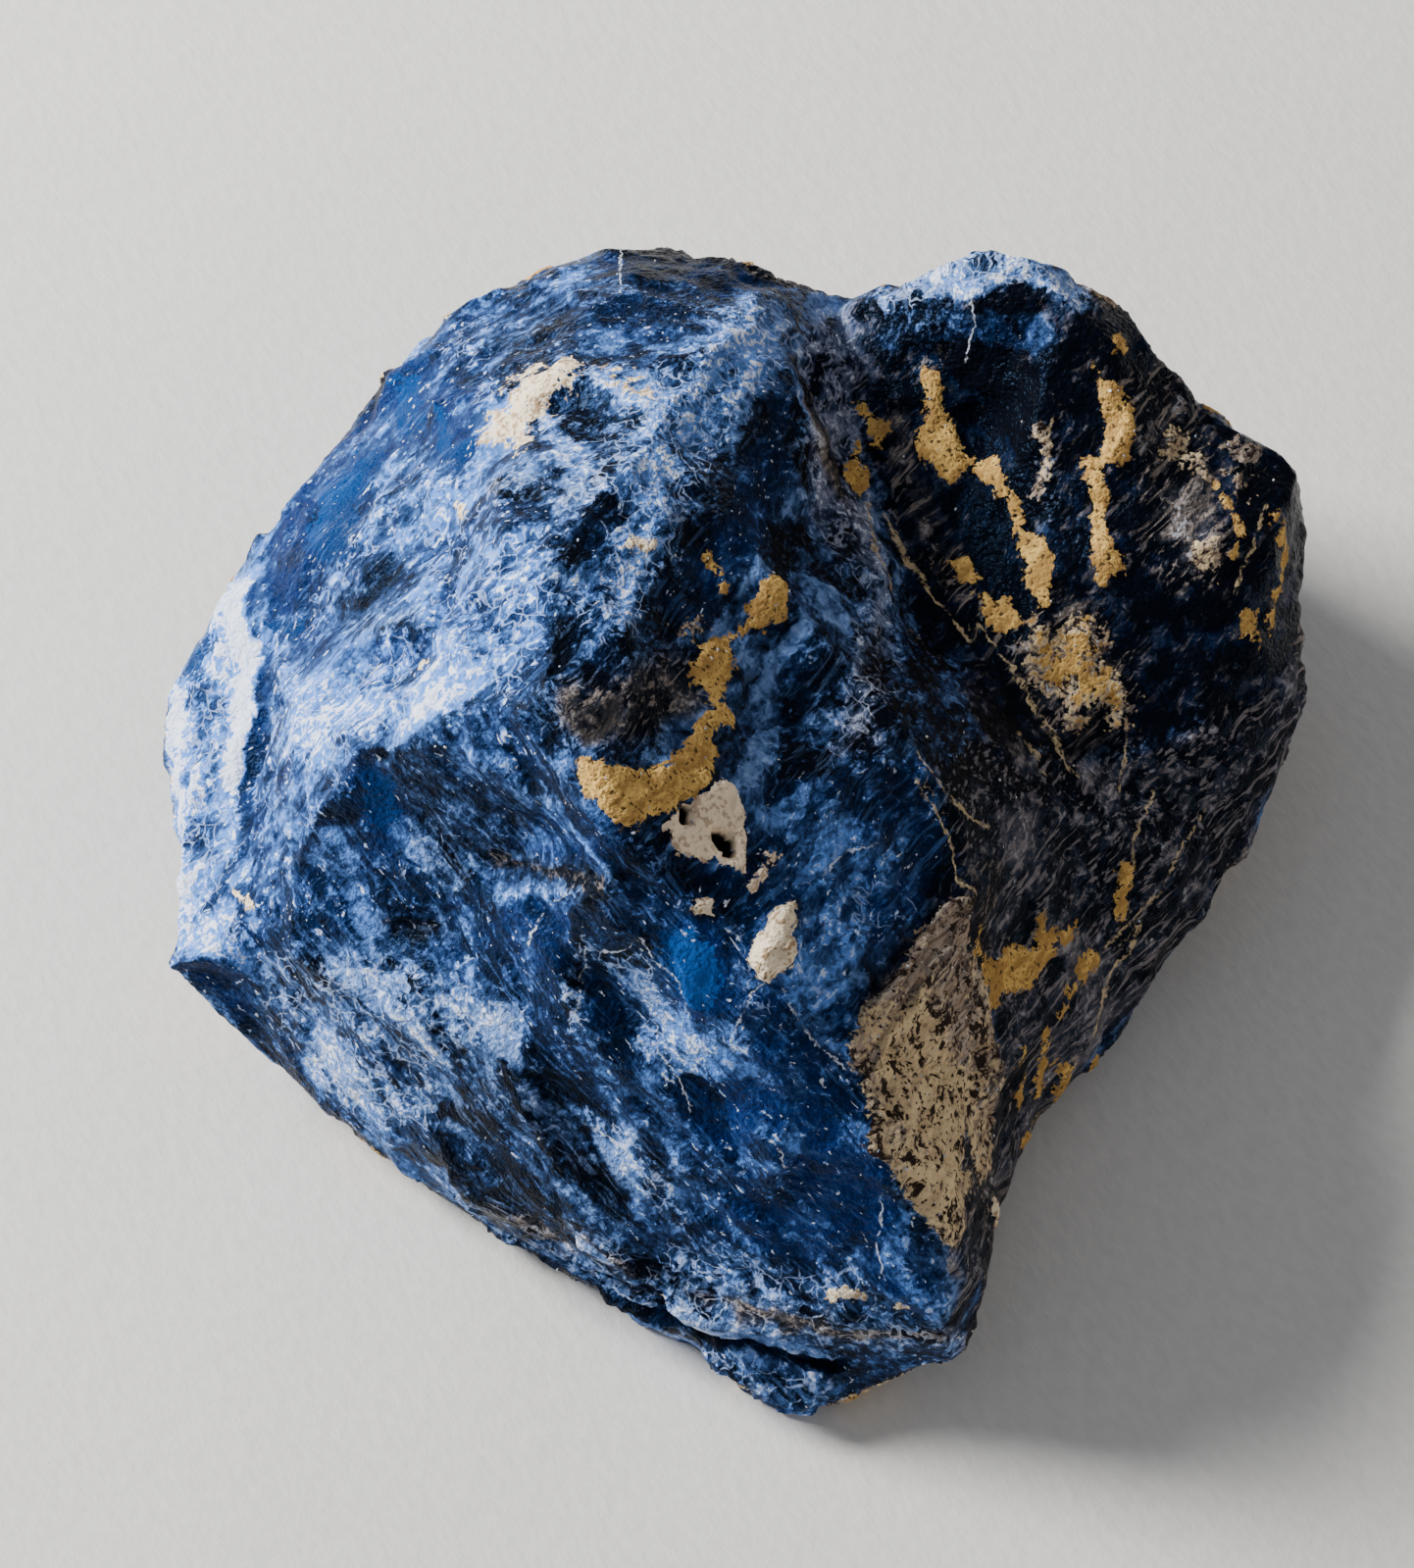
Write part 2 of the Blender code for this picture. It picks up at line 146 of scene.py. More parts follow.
# Changes of tone within the faces: a path on the sheet, its half width, how blue and how frosted it turns.
# The glow and the sheen are partly painted highlight, the crest and its shine painted sheen, and the shadows
# painted shade.
TONES = {
    "glow along the west ridge": (
        [
            (315, 770), (345, 735), (410, 712), (475, 690), (520, 655), (532, 600), (520, 545),
        ],
        28, 0.9, 0.95,
    ),
    "foot of the west ridge": ([(235, 960), (270, 870), (300, 800)], 30, 0.8, 0.46),
    "sheen under the dome": ([(515, 555), (528, 610)], 32, 1.0, 0.8),
    "white of the west lip": ([(240, 598), (248, 650), (246, 720), (240, 790)], 14, 0.9, 2.6),
    "outer edge of the lip": ([(180, 700), (170, 760), (170, 830), (180, 910)], 13, 0.9, 2.2),
    "strip of the lip": ([(210, 700), (205, 860)], 14, 0.9, 0.7),
    "second band of the west flank": ([(300, 705), (360, 665), (430, 650), (500, 655)], 14, 0.9, 0.62),
    "fold of the west flank": ([(355, 618), (385, 592), (410, 585)], 20, 0.35, 0.12),
    "grey band of the west flank": ([(325, 665), (370, 642), (426, 630)], 12, 0.3, 0.35),
    "frost of the west tip": ([(180, 955), (225, 945)], 22, 0.9, 1.05),
    "foot of the west flank": ([(185, 995), (215, 1000), (260, 1020)], 16, 0.8, 0.1),
    "recess behind the lip": ([(262, 610), (272, 680), (262, 760), (255, 840)], 8, 0.7, 0.1),
    "west rim": ([(280, 600), (310, 530), (365, 450), (420, 390), (466, 440)], 34, 0.95, 0.14),
    "rim of the dome": ([(430, 350), (500, 310), (580, 280)], 22, 0.6, 0.34),
    "speckled crater": ([(590, 440), (630, 440), (675, 445)], 28, 0.25, 0.4),
    "brown side of the crater": ([(510, 490), (570, 505), (625, 480)], 20, 0.15, 0.55),
    "top of the dome": ([(630, 256), (700, 260), (770, 285)], 32, 0.35, -0.25),
    "north shoulder": ([(600, 330), (680, 330), (760, 345)], 26, 0.55, 0.25),
    "cloud on the dome": ([(625, 600), (655, 500), (705, 425), (770, 350)], 50, 0.55, 0.9),
    "patch under the crater": ([(505, 530), (545, 520)], 20, 0.55, 0.3),
    "hollow of the dome": ([(590, 540), (620, 520)], 16, 0.45, 0.4),
    "navy band": ([(700, 610), (755, 535), (805, 435), (825, 365)], 28, 0.65, 0.14),
    "black bay": ([(590, 720), (640, 720), (690, 700)], 44, 0.05, 0.28),
    "black valley": ([(845, 350), (850, 450), (870, 560), (880, 680), (870, 760)], 42, 0.12, 0.55),
    "navy face": ([(830, 620), (810, 700), (790, 770)], 48, 0.32, 0.26),
    "blue foot of the shaded face": ([(790, 840), (870, 810), (930, 800)], 30, 0.5, 0.18),
    "hollow under the ridge": ([(390, 800), (450, 830), (520, 850), (580, 830)], 52, 0.4, 0.26),
    "deep blue of the hollow": ([(372, 800), (395, 850)], 26, 0.75, 0.0),
    "grey cloud of the hollow": ([(440, 850), (470, 890), (520, 880)], 24, 0.2, 0.42),
    "shadow in the hollow": ([(510, 875), (550, 890), (600, 898)], 22, 0.02, 0.05),
    "lens below the hollow": ([(392, 940), (430, 948), (462, 940)], 15, 0.1, 0.12),
    "blue block": ([(500, 940), (540, 930), (560, 960)], 34, 0.72, 0.12),
    "edge of the blue block": ([(475, 985), (480, 945), (520, 912), (585, 908)], 8, 0.5, 0.48),
    "frosted field": ([(300, 1010), (370, 1010), (430, 1040), (490, 1050)], 46, 0.35, 0.6),
    "pale side of the field": ([(415, 1072), (460, 1050), (515, 1035)], 18, 0.3, 0.72),
    "pale foot of the field": ([(330, 1080), (390, 1130), (430, 1120)], 24, 0.4, 1.0),
    "notch": ([(618, 975), (620, 1010), (628, 1045)], 26, 0.5, 0.0),
    "sides of the notch": (
        [(585, 1050), (575, 1000), (600, 960), (650, 985), (665, 1040)], 8, 0.3, 0.65,
    ),
    "frost below the window": ([(665, 1045), (700, 1075), (740, 1090)], 26, 0.5, 0.75),
    "black lower face": ([(470, 1130), (530, 1110), (570, 1160), (640, 1190)], 42, 0.16, 0.26),
    "black foot": ([(450, 1190), (540, 1215), (620, 1240)], 22, 0.25, 0.18),
    "flute": ([(600, 1140), (640, 1180), (690, 1240)], 14, 0.45, 0.6),
    "second flute": ([(700, 1120), (740, 1170), (770, 1230)], 12, 0.7, 0.35),
    "deep face": ([(740, 1130), (790, 1110), (830, 1160), (880, 1240)], 44, 0.9, 0.08),
    "frost by the south corner": ([(690, 1290), (780, 1300), (860, 1310), (930, 1320)], 26, 0.5, 0.6),
    "foot ledge": ([(680, 1350), (760, 1390), (830, 1420)], 24, 0.45, 0.72),
    "shelf sparkle": ([(780, 1000), (850, 960), (900, 920)], 44, 1.0, 0.52),
    "edge of the shelf": ([(975, 880), (962, 930), (920, 985), (880, 1040)], 10, 0.3, 0.5),
    # painted sheen: the crest's pale band and its shine stand in for the window's light reflected off the
    # glossy top
    "crest": ([(900, 300), (960, 282), (1030, 276), (1100, 296)], 23, 0.3, 0.92),
    "shine of the crest": ([(960, 280), (1000, 292), (1040, 284), (1080, 298)], 7, 0.5, 1.3),
    "blue under the crest": ([(940, 335), (1010, 332), (1060, 345)], 14, 0.5, 0.12),
    "black of the lobe": ([(1000, 400), (1030, 470), (1030, 560)], 40, 0.02, -0.2),
    "spur": ([(905, 420), (940, 520), (980, 600), (1030, 660)], 12, 0.05, 0.3),
    "rib": ([(1062, 440), (1068, 500), (1060, 560)], 12, 0.15, 0.3),
    "front window": ([(705, 965), (715, 1010)], 28, 1.2, 0.1),
    "blue right of the hollow": ([(560, 850), (610, 850)], 28, 0.75, 0.28),
    "deep foot": ([(760, 1240), (830, 1270)], 30, 0.85, 0.14),
    "corner blue": ([(900, 1285), (935, 1320)], 24, 0.9, 0.38),
    "blue west of the lobe": ([(915, 340), (960, 330)], 20, 0.35, 0.3),
    "east of the lobe": ([(1180, 400), (1200, 480), (1210, 560)], 40, 0.03, 0.4),
    "snow of the dome crust": ([(512, 425), (535, 408)], 14, 0.5, 1.1),
    "scratch of the dome": ([(605, 385), (650, 402)], 10, 0.5, 1.1),
    "chips under the dome crust": ([(556, 440), (592, 468)], 10, 0.5, 1.1),
    "grey top of the tan crust": ([(985, 905), (950, 960), (905, 1010)], 34, 0.05, 0.0),
    "yellow of the tan crust": ([(930, 1060), (950, 1120), (955, 1200)], 44, 0.05, 0.7),
    "bloom of the mottled crust": ([(1080, 655), (1105, 700)], 50, 0.04, 0.45),
    "dark right of the sheen": ([(610, 560), (614, 615), (604, 655)], 18, 0.55, 0.42),
    "shadow under the lip": (
        [(490, 1246), (560, 1293), (640, 1328), (740, 1364), (850, 1392)], 9, 0.1, -0.4,
    ),
    "foot of the lip": ([(700, 1368), (760, 1397), (820, 1418)], 18, 0.5, 0.62),
    "west low": ([(318, 668), (340, 655), (360, 662)], 20, 0.75, 0.2),
    "bright edge of the west flank": ([(318, 770), (342, 728), (392, 712)], 9, 0.8, 1.3),
}

# Relief within the faces: a path on the sheet, its half width, and how far it stands out in mm
RELIEF = {
    "black hollow": ([(510, 880), (590, 880)], 24, -1.2),
    "lens hollow": ([(392, 942), (462, 942)], 14, -1.2),
    "blue block": ([(495, 945), (560, 942)], 40, 0.9),
    "notch": ([(616, 965), (622, 1010), (634, 1060)], 24, -1.0),
    "window block": ([(690, 965), (715, 1015)], 30, 0.6),
    "frosted field": ([(300, 1010), (400, 1015), (490, 1050)], 44, 0.6),
    "first flute": ([(560, 1080), (600, 1150), (640, 1230)], 18, -0.5),
    "second flute": ([(640, 1090), (680, 1170), (730, 1265)], 16, -0.6),
    "third flute": ([(730, 1110), (765, 1190), (810, 1280)], 16, -0.5),
    "fourth flute": ([(810, 1110), (850, 1190), (890, 1270)], 16, -0.5),
    "rim of the vug": ([(722, 804), (752, 812), (766, 840), (762, 872)], 13, 0.8),
    "lip": ([(470, 1212), (560, 1262), (640, 1297), (740, 1332), (860, 1362), (965, 1368)], 13, 0.8),
    "groove under the lip": (
        [(480, 1237), (560, 1286), (640, 1321), (740, 1356), (850, 1386)], 12, -0.9,
    ),
    "recess behind the west lip": (
        [(264, 600), (271, 680), (262, 760), (250, 830), (240, 900)], 12, -0.9,
    ),
    "west lip": ([(236, 600), (242, 680), (235, 760), (225, 830)], 17, 0.7),
    "fold of the west flank": ([(345, 640), (370, 600), (410, 575), (455, 560)], 15, -0.9),
    "rib of the west flank": ([(330, 672), (370, 648), (430, 633), (500, 640)], 12, 0.6),
    "groove of the west flank": ([(305, 725), (360, 688), (430, 662), (500, 655)], 9, -0.6),
    "large west window": ([(330, 535), (360, 492), (388, 468)], 18, -0.8),
    "upper west window": ([(452, 415), (478, 470)], 15, -0.7),
    "ledge of the west tip": ([(172, 980), (215, 972), (255, 1000)], 12, 0.7),
    "groove of the west tip": ([(190, 1008), (235, 1018), (280, 1052)], 9, -0.8),
    "crater": ([(560, 430), (610, 428), (665, 435)], 30, -1.1),
    "crater rim": ([(590, 390), (640, 393), (690, 425)], 12, 0.5),
    "hollow of the dome": ([(580, 548), (640, 522)], 24, -0.8),
    "step of the dome": ([(500, 480), (540, 460), (580, 470)], 12, 0.5),
    "lobe rib": ([(1062, 430), (1068, 500), (1060, 560), (1072, 640)], 17, 0.9),
    "west side of the rib": ([(1000, 400), (1030, 520), (1045, 620)], 30, -0.6),
    "east side of the rib": ([(1100, 420), (1104, 520), (1104, 610)], 20, -0.45),
    "first east step": ([(1165, 390), (1182, 480), (1187, 570)], 16, -0.35),
    "second east step": ([(1225, 440), (1245, 520), (1240, 620)], 15, -0.35),
    "shelf edge": ([(978, 880), (962, 930), (920, 985), (878, 1040), (862, 1085)], 10, 0.7),
    "foot of the shelf edge": (
        [(994, 905), (978, 950), (938, 1004), (898, 1052), (884, 1100)], 11, -0.45,
    ),
}

# Corners drawn out or in: a point, the way it moves and how far around it the skin follows, in mm
NUDGES = {
    "west tip": ((-39.5, -11, 10.5), (-0.9, 0, 0), 5),
    "north-west side": ((-24, 9, 30), (0.5, -0.3, -0.5), 15),
    "east corner": ((39, 21.5, 24.5), (0.5, 0.6, 0.4), 4),
    "south corner": ((16.5, -36, 6.5), (-0.9, 0.4, 0), 6),
    "saddle": ((6, 34, 27), (0, -0.6, -0.8), 8),
    "west of the crest": ((13.2, 34.3, 29.5), (0, 0.6, 0.9), 6),
    "peak of the crest": ((17.8, 33.3, 33.3), (0, -0.3, -0.5), 3),
}

# Clear windows of bright blue, as outlines on the sheet
WINDOWS = {
    "large west window": [
        (332, 494), (368, 473), (394, 451), (390, 473), (368, 509), (361, 542), (346, 567), (328, 574),
        (315, 545), (321, 516),
    ],
    "upper west window": [
        (444, 407), (459, 429), (466, 451), (488, 444), (488, 465), (470, 487), (455, 473), (446, 444),
    ],
    "rim window": [(401, 385), (423, 375), (434, 400), (430, 436), (404, 440)],
    "low west window": [(277, 636), (310, 633), (306, 656), (288, 654)],
    "lip window": [(186, 640), (215, 633), (219, 662), (205, 691), (183, 713), (177, 683)],
    "ridge window": [(368, 790), (400, 786), (408, 820), (396, 846), (372, 836)],
    "front window": [
        (672, 955), (700, 948), (732, 976), (736, 1010), (722, 1032), (690, 1020), (668, 985),
    ],
}

# Crusts: outlines on the sheet, and streaks, each a path and its half width
OCHRE_PATCHES = {
    "main patch": [
        (587, 781), (594, 771), (609, 774), (632, 777), (649, 782), (666, 780), (683, 775), (698, 765),
        (703, 749), (715, 732), (725, 721), (721, 704), (709, 695), (706, 675), (715, 658), (729, 652),
        (752, 649), (747, 663), (744, 678), (751, 683), (739, 698), (739, 715), (749, 726), (749, 741),
        (732, 744), (722, 752), (725, 767), (729, 778), (726, 792), (732, 798), (721, 807), (709, 810),
        (695, 818), (689, 827), (675, 836), (666, 833), (649, 844), (632, 847), (622, 836), (609, 818),
        (597, 807), (589, 790),
    ],
    "upper blob": [
        (787, 583), (795, 586), (804, 609), (801, 629), (787, 635), (775, 643), (764, 637), (765, 620),
        (772, 612), (775, 592),
    ],
    "spur patch": [
        (938, 370), (951, 373), (960, 393), (962, 416), (970, 432), (983, 451), (986, 474), (980, 490),
        (970, 494), (960, 484), (944, 468), (929, 455), (931, 445), (941, 435), (944, 416), (941, 396),
    ],
    "spur tail": [
        (993, 468), (1016, 464), (1025, 484), (1032, 500), (1040, 510), (1038, 523), (1048, 542),
        (1064, 549), (1068, 568), (1072, 591), (1069, 614), (1061, 620), (1048, 607), (1040, 581),
        (1042, 565), (1035, 533), (1030, 510), (1016, 503), (1006, 490),
    ],
    "valley streak": [
        (967, 568), (983, 565), (996, 591), (1012, 614), (1025, 607), (1035, 617), (1042, 640),
        (1035, 650), (1022, 640), (1017, 646), (1006, 633), (996, 611), (983, 591),
    ],
    "saddle blob": [
        (869, 406), (879, 409), (889, 422), (907, 425), (902, 435), (898, 451), (889, 454), (879, 438),
    ],
    "low saddle blob": [
        (856, 474), (869, 468), (872, 451), (876, 468), (885, 484), (887, 497), (879, 507), (869, 497),
    ],
    "lobe patch": [
        (1118, 364), (1126, 383), (1142, 390), (1151, 412), (1154, 448), (1147, 473), (1126, 471),
        (1121, 451), (1128, 432), (1121, 409), (1123, 386),
    ],
    "lobe spot": [(1130, 346), (1142, 343), (1149, 358), (1144, 366), (1134, 360)],
    "lobe streak": [
        (1103, 468), (1123, 464), (1126, 487), (1131, 503), (1128, 526), (1131, 552), (1147, 581),
        (1146, 590), (1129, 585), (1120, 607), (1116, 591), (1113, 565), (1110, 539), (1112, 510),
    ],
    "flank patch": [
        (994, 967), (1007, 984), (1031, 963), (1052, 967), (1066, 929), (1069, 956), (1097, 939),
        (1090, 953), (1069, 974), (1052, 991), (1049, 1008), (1035, 1012), (1024, 1015), (1018, 1036),
        (1014, 1012), (1000, 991),
    ],
    "flank streak": [
        (1124, 974), (1111, 998), (1097, 1012), (1083, 1039), (1090, 1008), (1097, 987), (1107, 967),
    ],
    "flank drop": [(1045, 1063), (1042, 1122), (1031, 1132), (1035, 1101), (1038, 1067)],
}
OCHRE_STREAKS = {
    "link of the blobs": ([(765, 637), (744, 650)], 5),
    "thread over the blob": ([(721, 566), (733, 585), (738, 600)], 5),
    "high flank streak": ([(1149, 885), (1146, 905), (1142, 932)], 7),
    "low flank streak": ([(1086, 1090), (1070, 1140), (1048, 1165)], 6),
    "pale flank streak": ([(1073, 1056), (1062, 1090), (1055, 1115)], 4),
    "east chain": ([(1243, 500), (1262, 530), (1266, 548), (1262, 570)], 4),
    "east drop": ([(1270, 630), (1276, 652)], 7),
    "second east drop": ([(1290, 620), (1292, 642)], 5),
    "east loop": ([(1300, 530), (1310, 572), (1296, 610)], 4),
}
PINK_PATCHES = {
    "crust round the vug": [
        (726, 798), (744, 798), (758, 810), (764, 824), (768, 844), (772, 850), (770, 864), (764, 881),
        (755, 896), (744, 890), (721, 879), (704, 876), (692, 870), (686, 856), (675, 844), (686, 833),
        (698, 818), (709, 813), (721, 807),
    ],
}
PINK_STREAKS = {
    "tail of the vug": ([(772, 905), (780, 890), (787, 873)], 5),
}
CALCITE_PATCHES = {
    "lump": [
        (796, 920), (811, 920), (816, 941), (808, 950), (814, 962), (816, 974), (808, 990), (793, 996),
        (782, 1006), (769, 1000), (762, 980), (767, 960), (779, 951), (782, 938),
    ],
    "spot by the vug": [(700, 920), (712, 921), (726, 912), (733, 920), (728, 930), (712, 931)],
}
FLAKY_PATCHES = {
    "dome crust": [
        (488, 452), (492, 414), (520, 396), (544, 376), (594, 374), (596, 398), (562, 424), (536, 450),
    ],
    "flakes by the crater": [(622, 384), (640, 380), (662, 392), (658, 404), (640, 404)],
}
CALCITE_STREAKS = {
    "heart of the dome crust": ([(506, 440), (528, 410), (560, 388), (584, 378)], 8),
    "dome fleck": ([(646, 553), (660, 556)], 7),
    "west fleck": ([(464, 512), (466, 520)], 5),
    "ridge fleck": ([(250, 915), (254, 925)], 4),
    "corner cluster": ([(848, 1320), (878, 1318)], 5),
    "second corner cluster": ([(918, 1330), (928, 1332)], 4),
}

# White veins: paths on the sheet
VEINS = {
    "front vein": [(797, 1008), (808, 1032), (825, 1056), (858, 1088)],
    "low vein": [(787, 1163), (797, 1170), (808, 1187)],
    "corner vein": [(897, 1232), (894, 1266), (902, 1294)],
    "crest thread": [(993, 300), (993, 330), (986, 362)],
    "crack of the dome": [(631, 252), (632, 274), (633, 296)],
    "first block edge": [(655, 960), (662, 985), (690, 1000), (700, 1040)],
    "second block edge": [(540, 960), (548, 930), (580, 905)],
    "notch edge": [(590, 1040), (586, 1000), (602, 965), (640, 965)],
    "scratch": [(611, 1151), (640, 1178), (665, 1213)],
    "thread under the window": [(665, 1045), (672, 1075), (690, 1100), (700, 1130)],
    "threads of the shelf": [(745, 1060), (760, 1020), (775, 1005)],
    "shelf thread": [(845, 885), (862, 870), (885, 862)],
}

# Tan crusts, and tan threads that are paths on the sheet
TAN_STREAKS = {
    "rib streak": ([(1058, 435), (1070, 474), (1058, 508)], 6),
}
TAN_THREADS = {
    "shelf vein": [(940, 770), (958, 800), (985, 830), (1004, 842)],
    "second shelf vein": [(938, 800), (960, 840), (978, 880), (985, 905)],
    "valley thread": [(905, 530), (925, 560), (950, 600), (985, 650)],
    "valley foot thread": [(1000, 640), (1030, 680), (1065, 740), (1085, 775)],
    "left fan": [(1290, 520), (1280, 560), (1262, 600)],
    "flank thread": [(1040, 752), (1056, 766), (1068, 784)],
    "second flank thread": [(1147, 754), (1146, 780), (1141, 803)],
    "long flank thread": [(1177, 809), (1158, 870), (1144, 934)],
    "outer flank thread": [(1226, 831), (1177, 918), (1133, 961)],
    "low flank thread": [(1160, 950), (1128, 1010), (1111, 1059)],
    "lowest flank thread": [(1095, 1081), (1075, 1120), (1057, 1152)],
    "side of the mottled crust": [(1035, 680), (1052, 710), (1075, 745), (1094, 790)],
    "rib thread": [(1072, 430), (1064, 470), (1056, 500)],
    "saddle thread": [(885, 520), (893, 560), (905, 600)],
}
TAN_PATCHES = {
    "tan crust": [
        (861, 1080), (871, 1053), (880, 1022), (901, 1008), (928, 977), (945, 939), (966, 915),
        (987, 912), (987, 946), (990, 970), (1004, 991), (1014, 1025), (1018, 1053), (1018, 1073),
        (1021, 1101), (1014, 1135), (1007, 1170), (1000, 1204), (987, 1232), (983, 1259), (973, 1273),
        (959, 1270), (945, 1249), (932, 1235), (925, 1215), (907, 1197), (890, 1184), (883, 1170),
        (883, 1146), (880, 1125), (873, 1098),
    ],
}
MOTTLED_PATCHES = {
    "mottled crust": [
        (1038, 655), (1058, 628), (1080, 646), (1104, 616), (1126, 634), (1134, 672), (1156, 712),
        (1146, 752), (1118, 730), (1098, 752), (1078, 716), (1052, 704),
    ],
}
SPECKLED_PATCHES = {
    "east pink patch": [
        (1185, 442), (1201, 429), (1220, 448), (1230, 468), (1240, 481), (1230, 490), (1211, 474),
        (1191, 468),
    ],
    "east tip patch": [
        (1247, 448), (1263, 448), (1286, 458), (1282, 474), (1269, 481), (1266, 503), (1261, 497),
        (1260, 474),
    ],
    "east speckled patch": [(1217, 552), (1230, 548), (1246, 566), (1240, 582), (1226, 576)],
    "spot by the bay": [(696, 637), (710, 633), (718, 646), (706, 652)],
}

# Holes: outlines on the sheet; they are carved in and filled with painted shadow
HOLES = {
    "vug": [(724, 848), (738, 845), (757, 855), (755, 876), (740, 877), (726, 866)],
    "small hole": [(693, 820), (703, 818), (707, 830), (703, 840), (694, 838)],
}

# Patches on the sides the sheet doesn't see: size in mm, seed and how rare
HIDDEN_MARKS = {
    "window": (7, 21, 0.55),
    "ochre": (6, 22, 0.62),
    "pink": (6, 23, 0.75),
    "calcite": (5, 24, 0.75),
    "tan": (12, 25, 0.6),
}

# How much each pattern swings the body's tone, its flecks, its veil, its relief, its windows and its crusts
BODY_MIX = {"cloud": 1.3, "patch": 0.9, "streak": 0.6, "facet": 0.6, "plate": 0.25, "flake": 0.15}
FLECK_MIX = {
    "cloud": 0.9, "patch": 1.1, "streak": 1.3, "fleck": 0.6, "dash": 1.0, "facet": 0.6, "plate": 0.35,
    "flake": 0.45, "chip": 0.7, "grit": 0.4,
}
VEIL_MIX = {
    "cloud": 1.1, "patch": 0.9, "streak": 1.5, "fleck": 0.3, "facet": 1.15, "plate": 0.4, "flake": 0.3,
}
RELIEF_MIX = {"patch": 0.8, "fleck": 0.9}
WINDOW_MIX = {"fleck": 1.4, "flake": 0.5, "streak": 0.8}
CRUST_MIX = {"ragged": 2.6, "fleck": 1.0, "streak": 1.4}

# Layers of flats the skin splits into: size in mm, length along the grain, how flat, how far they lean
FACET_LAYERS = ((5.0, 1.4, 0.95, 0.5), (2.4, 1.7, 0.85, 1.0), (1.3, 2.0, 0.5, 1.5))
SKIN_AREA = 13000  # mm2, shared out among the flats
CREASE_WEIGHT = 1.6  # how strongly creases part the flats
FACET_REACH = 0.16  # the furthest a flat moves the skin, against its size

COARSE_STEP = 0.8  # mm, the step of the skin that rounds off the solid's facets
SKIN_LIFT = 0.22  # mm, gives back what the rounding takes
SIGHT_LIFT = 0.35  # mm above the skin, from where the sheet is looked at
EDGE_RISE = 0.16  # mm, how far a full edge stands out
LINE_REACH = 14  # sheet steps around a vein or thread
PIT_COUNT = 260
PIT_RADII = (0.35, 0.75)  # mm
PIT_DEPTH = 0.55  # against the radius
HOLE_DEPTH = 1.5  # mm

# Shades within the bruises and crusts, and the painted shadow of the holes
FAINT_DUST = (0.03, 0.032, 0.04)
OCHRE_STAIN = (0.4, 0.23, 0.07)
OCHRE_PORE = (0.1, 0.06, 0.025)
PINK_WEAR = (0.42, 0.28, 0.2)
TAN_GROOVE = (0.09, 0.075, 0.075)
TAN_RIDGE = (0.42, 0.35, 0.29)
TAN_STAIN = (0.3, 0.2, 0.13)
TAN_PIT = (0.03, 0.02, 0.016)
CALCITE_WEAR = (0.42, 0.29, 0.17)
# painted shadow: the near-black inside the holes stands in for the shade that falls in them
HOLE_PAINTED_SHADOW = (0.004, 0.004, 0.005)
GRAIN_SHADE = (0.35, 0.45, 0.62)

# The floor and the lights
FLOOR_REACH = 1.5  # m from its middle
LIGHT_TARGET = (0, 0, 0.02)  # m
WINDOW_COLOUR = (1.0, 0.985, 0.96)
WARM_COLOUR = (1.0, 0.72, 0.35)
ROOM_COLOUR = (0.86, 0.91, 1.0)


class StoneSettings(PropertyGroup):
    """Sizes and colours of the stone's skin."""

    skin_step: FloatProperty(
        name="Skin step", description="Edge length of the skin", default=0.46 * MM, unit="LENGTH")
    lean: FloatProperty(
        name="Lean", description="How far the small flats lean", default=0.1)
    hackle: FloatProperty(
        name="Hackle", description="Height of the finest broken relief", default=0.05 * MM, unit="LENGTH")
    groove: FloatProperty(
        name="Grooves", description="Depth of the streaks along the grain", default=0.1 * MM, unit="LENGTH")
    crust: FloatProperty(
        name="Crust", description="How far the crusts stand out", default=0.22 * MM, unit="LENGTH")
    seed: IntProperty(
        name="Seed", description="Seed of the flats and pits", default=11)
    black: FloatVectorProperty(
        name="Matrix", description="Black matrix", subtype="COLOR", default=(0.0022, 0.003, 0.006))
    navy: FloatVectorProperty(
        name="Navy", description="Deep blue", subtype="COLOR", default=(0.0035, 0.01, 0.033))
    blue: FloatVectorProperty(
        name="Blue", description="Body blue", subtype="COLOR", default=(0.004, 0.018, 0.095))
    glass: FloatVectorProperty(
        name="Glass", description="Clear deep blue", subtype="COLOR", default=(0.0005, 0.022, 0.1))
    window: FloatVectorProperty(
        name="Window", description="Clear bright blue", subtype="COLOR", default=(0.002, 0.07, 0.3))
    bruise: FloatVectorProperty(
        name="Bruise", description="Lightly bruised grains", subtype="COLOR", default=(0.03, 0.07, 0.19))
    frost: FloatVectorProperty(
        name="Frost", description="Frosted grains", subtype="COLOR", default=(0.1, 0.26, 0.74))
    rime: FloatVectorProperty(
        name="Rime", description="Frosted black matrix", subtype="COLOR", default=(0.17, 0.29, 0.6))
    dust: FloatVectorProperty(
        name="Dust", description="Bruised matrix", subtype="COLOR", default=(0.24, 0.2, 0.18))
    # The white is also the colour of the painted glints.
    white: FloatVectorProperty(
        name="White", description="Whitest frost", subtype="COLOR", default=(0.76, 0.83, 1.0))
    ochre: FloatVectorProperty(
        name="Ochre", description="Iron-stained crust", subtype="COLOR", default=(0.74, 0.47, 0.14))
    pink: FloatVectorProperty(
        name="Pink", description="Pale crust", subtype="COLOR", default=(1.0, 0.82, 0.6))
    tan: FloatVectorProperty(
        name="Tan", description="Pitted crust", subtype="COLOR", default=(0.72, 0.56, 0.33))
    calcite: FloatVectorProperty(
        name="Calcite", description="White calcite", subtype="COLOR", default=(0.84, 0.71, 0.52))


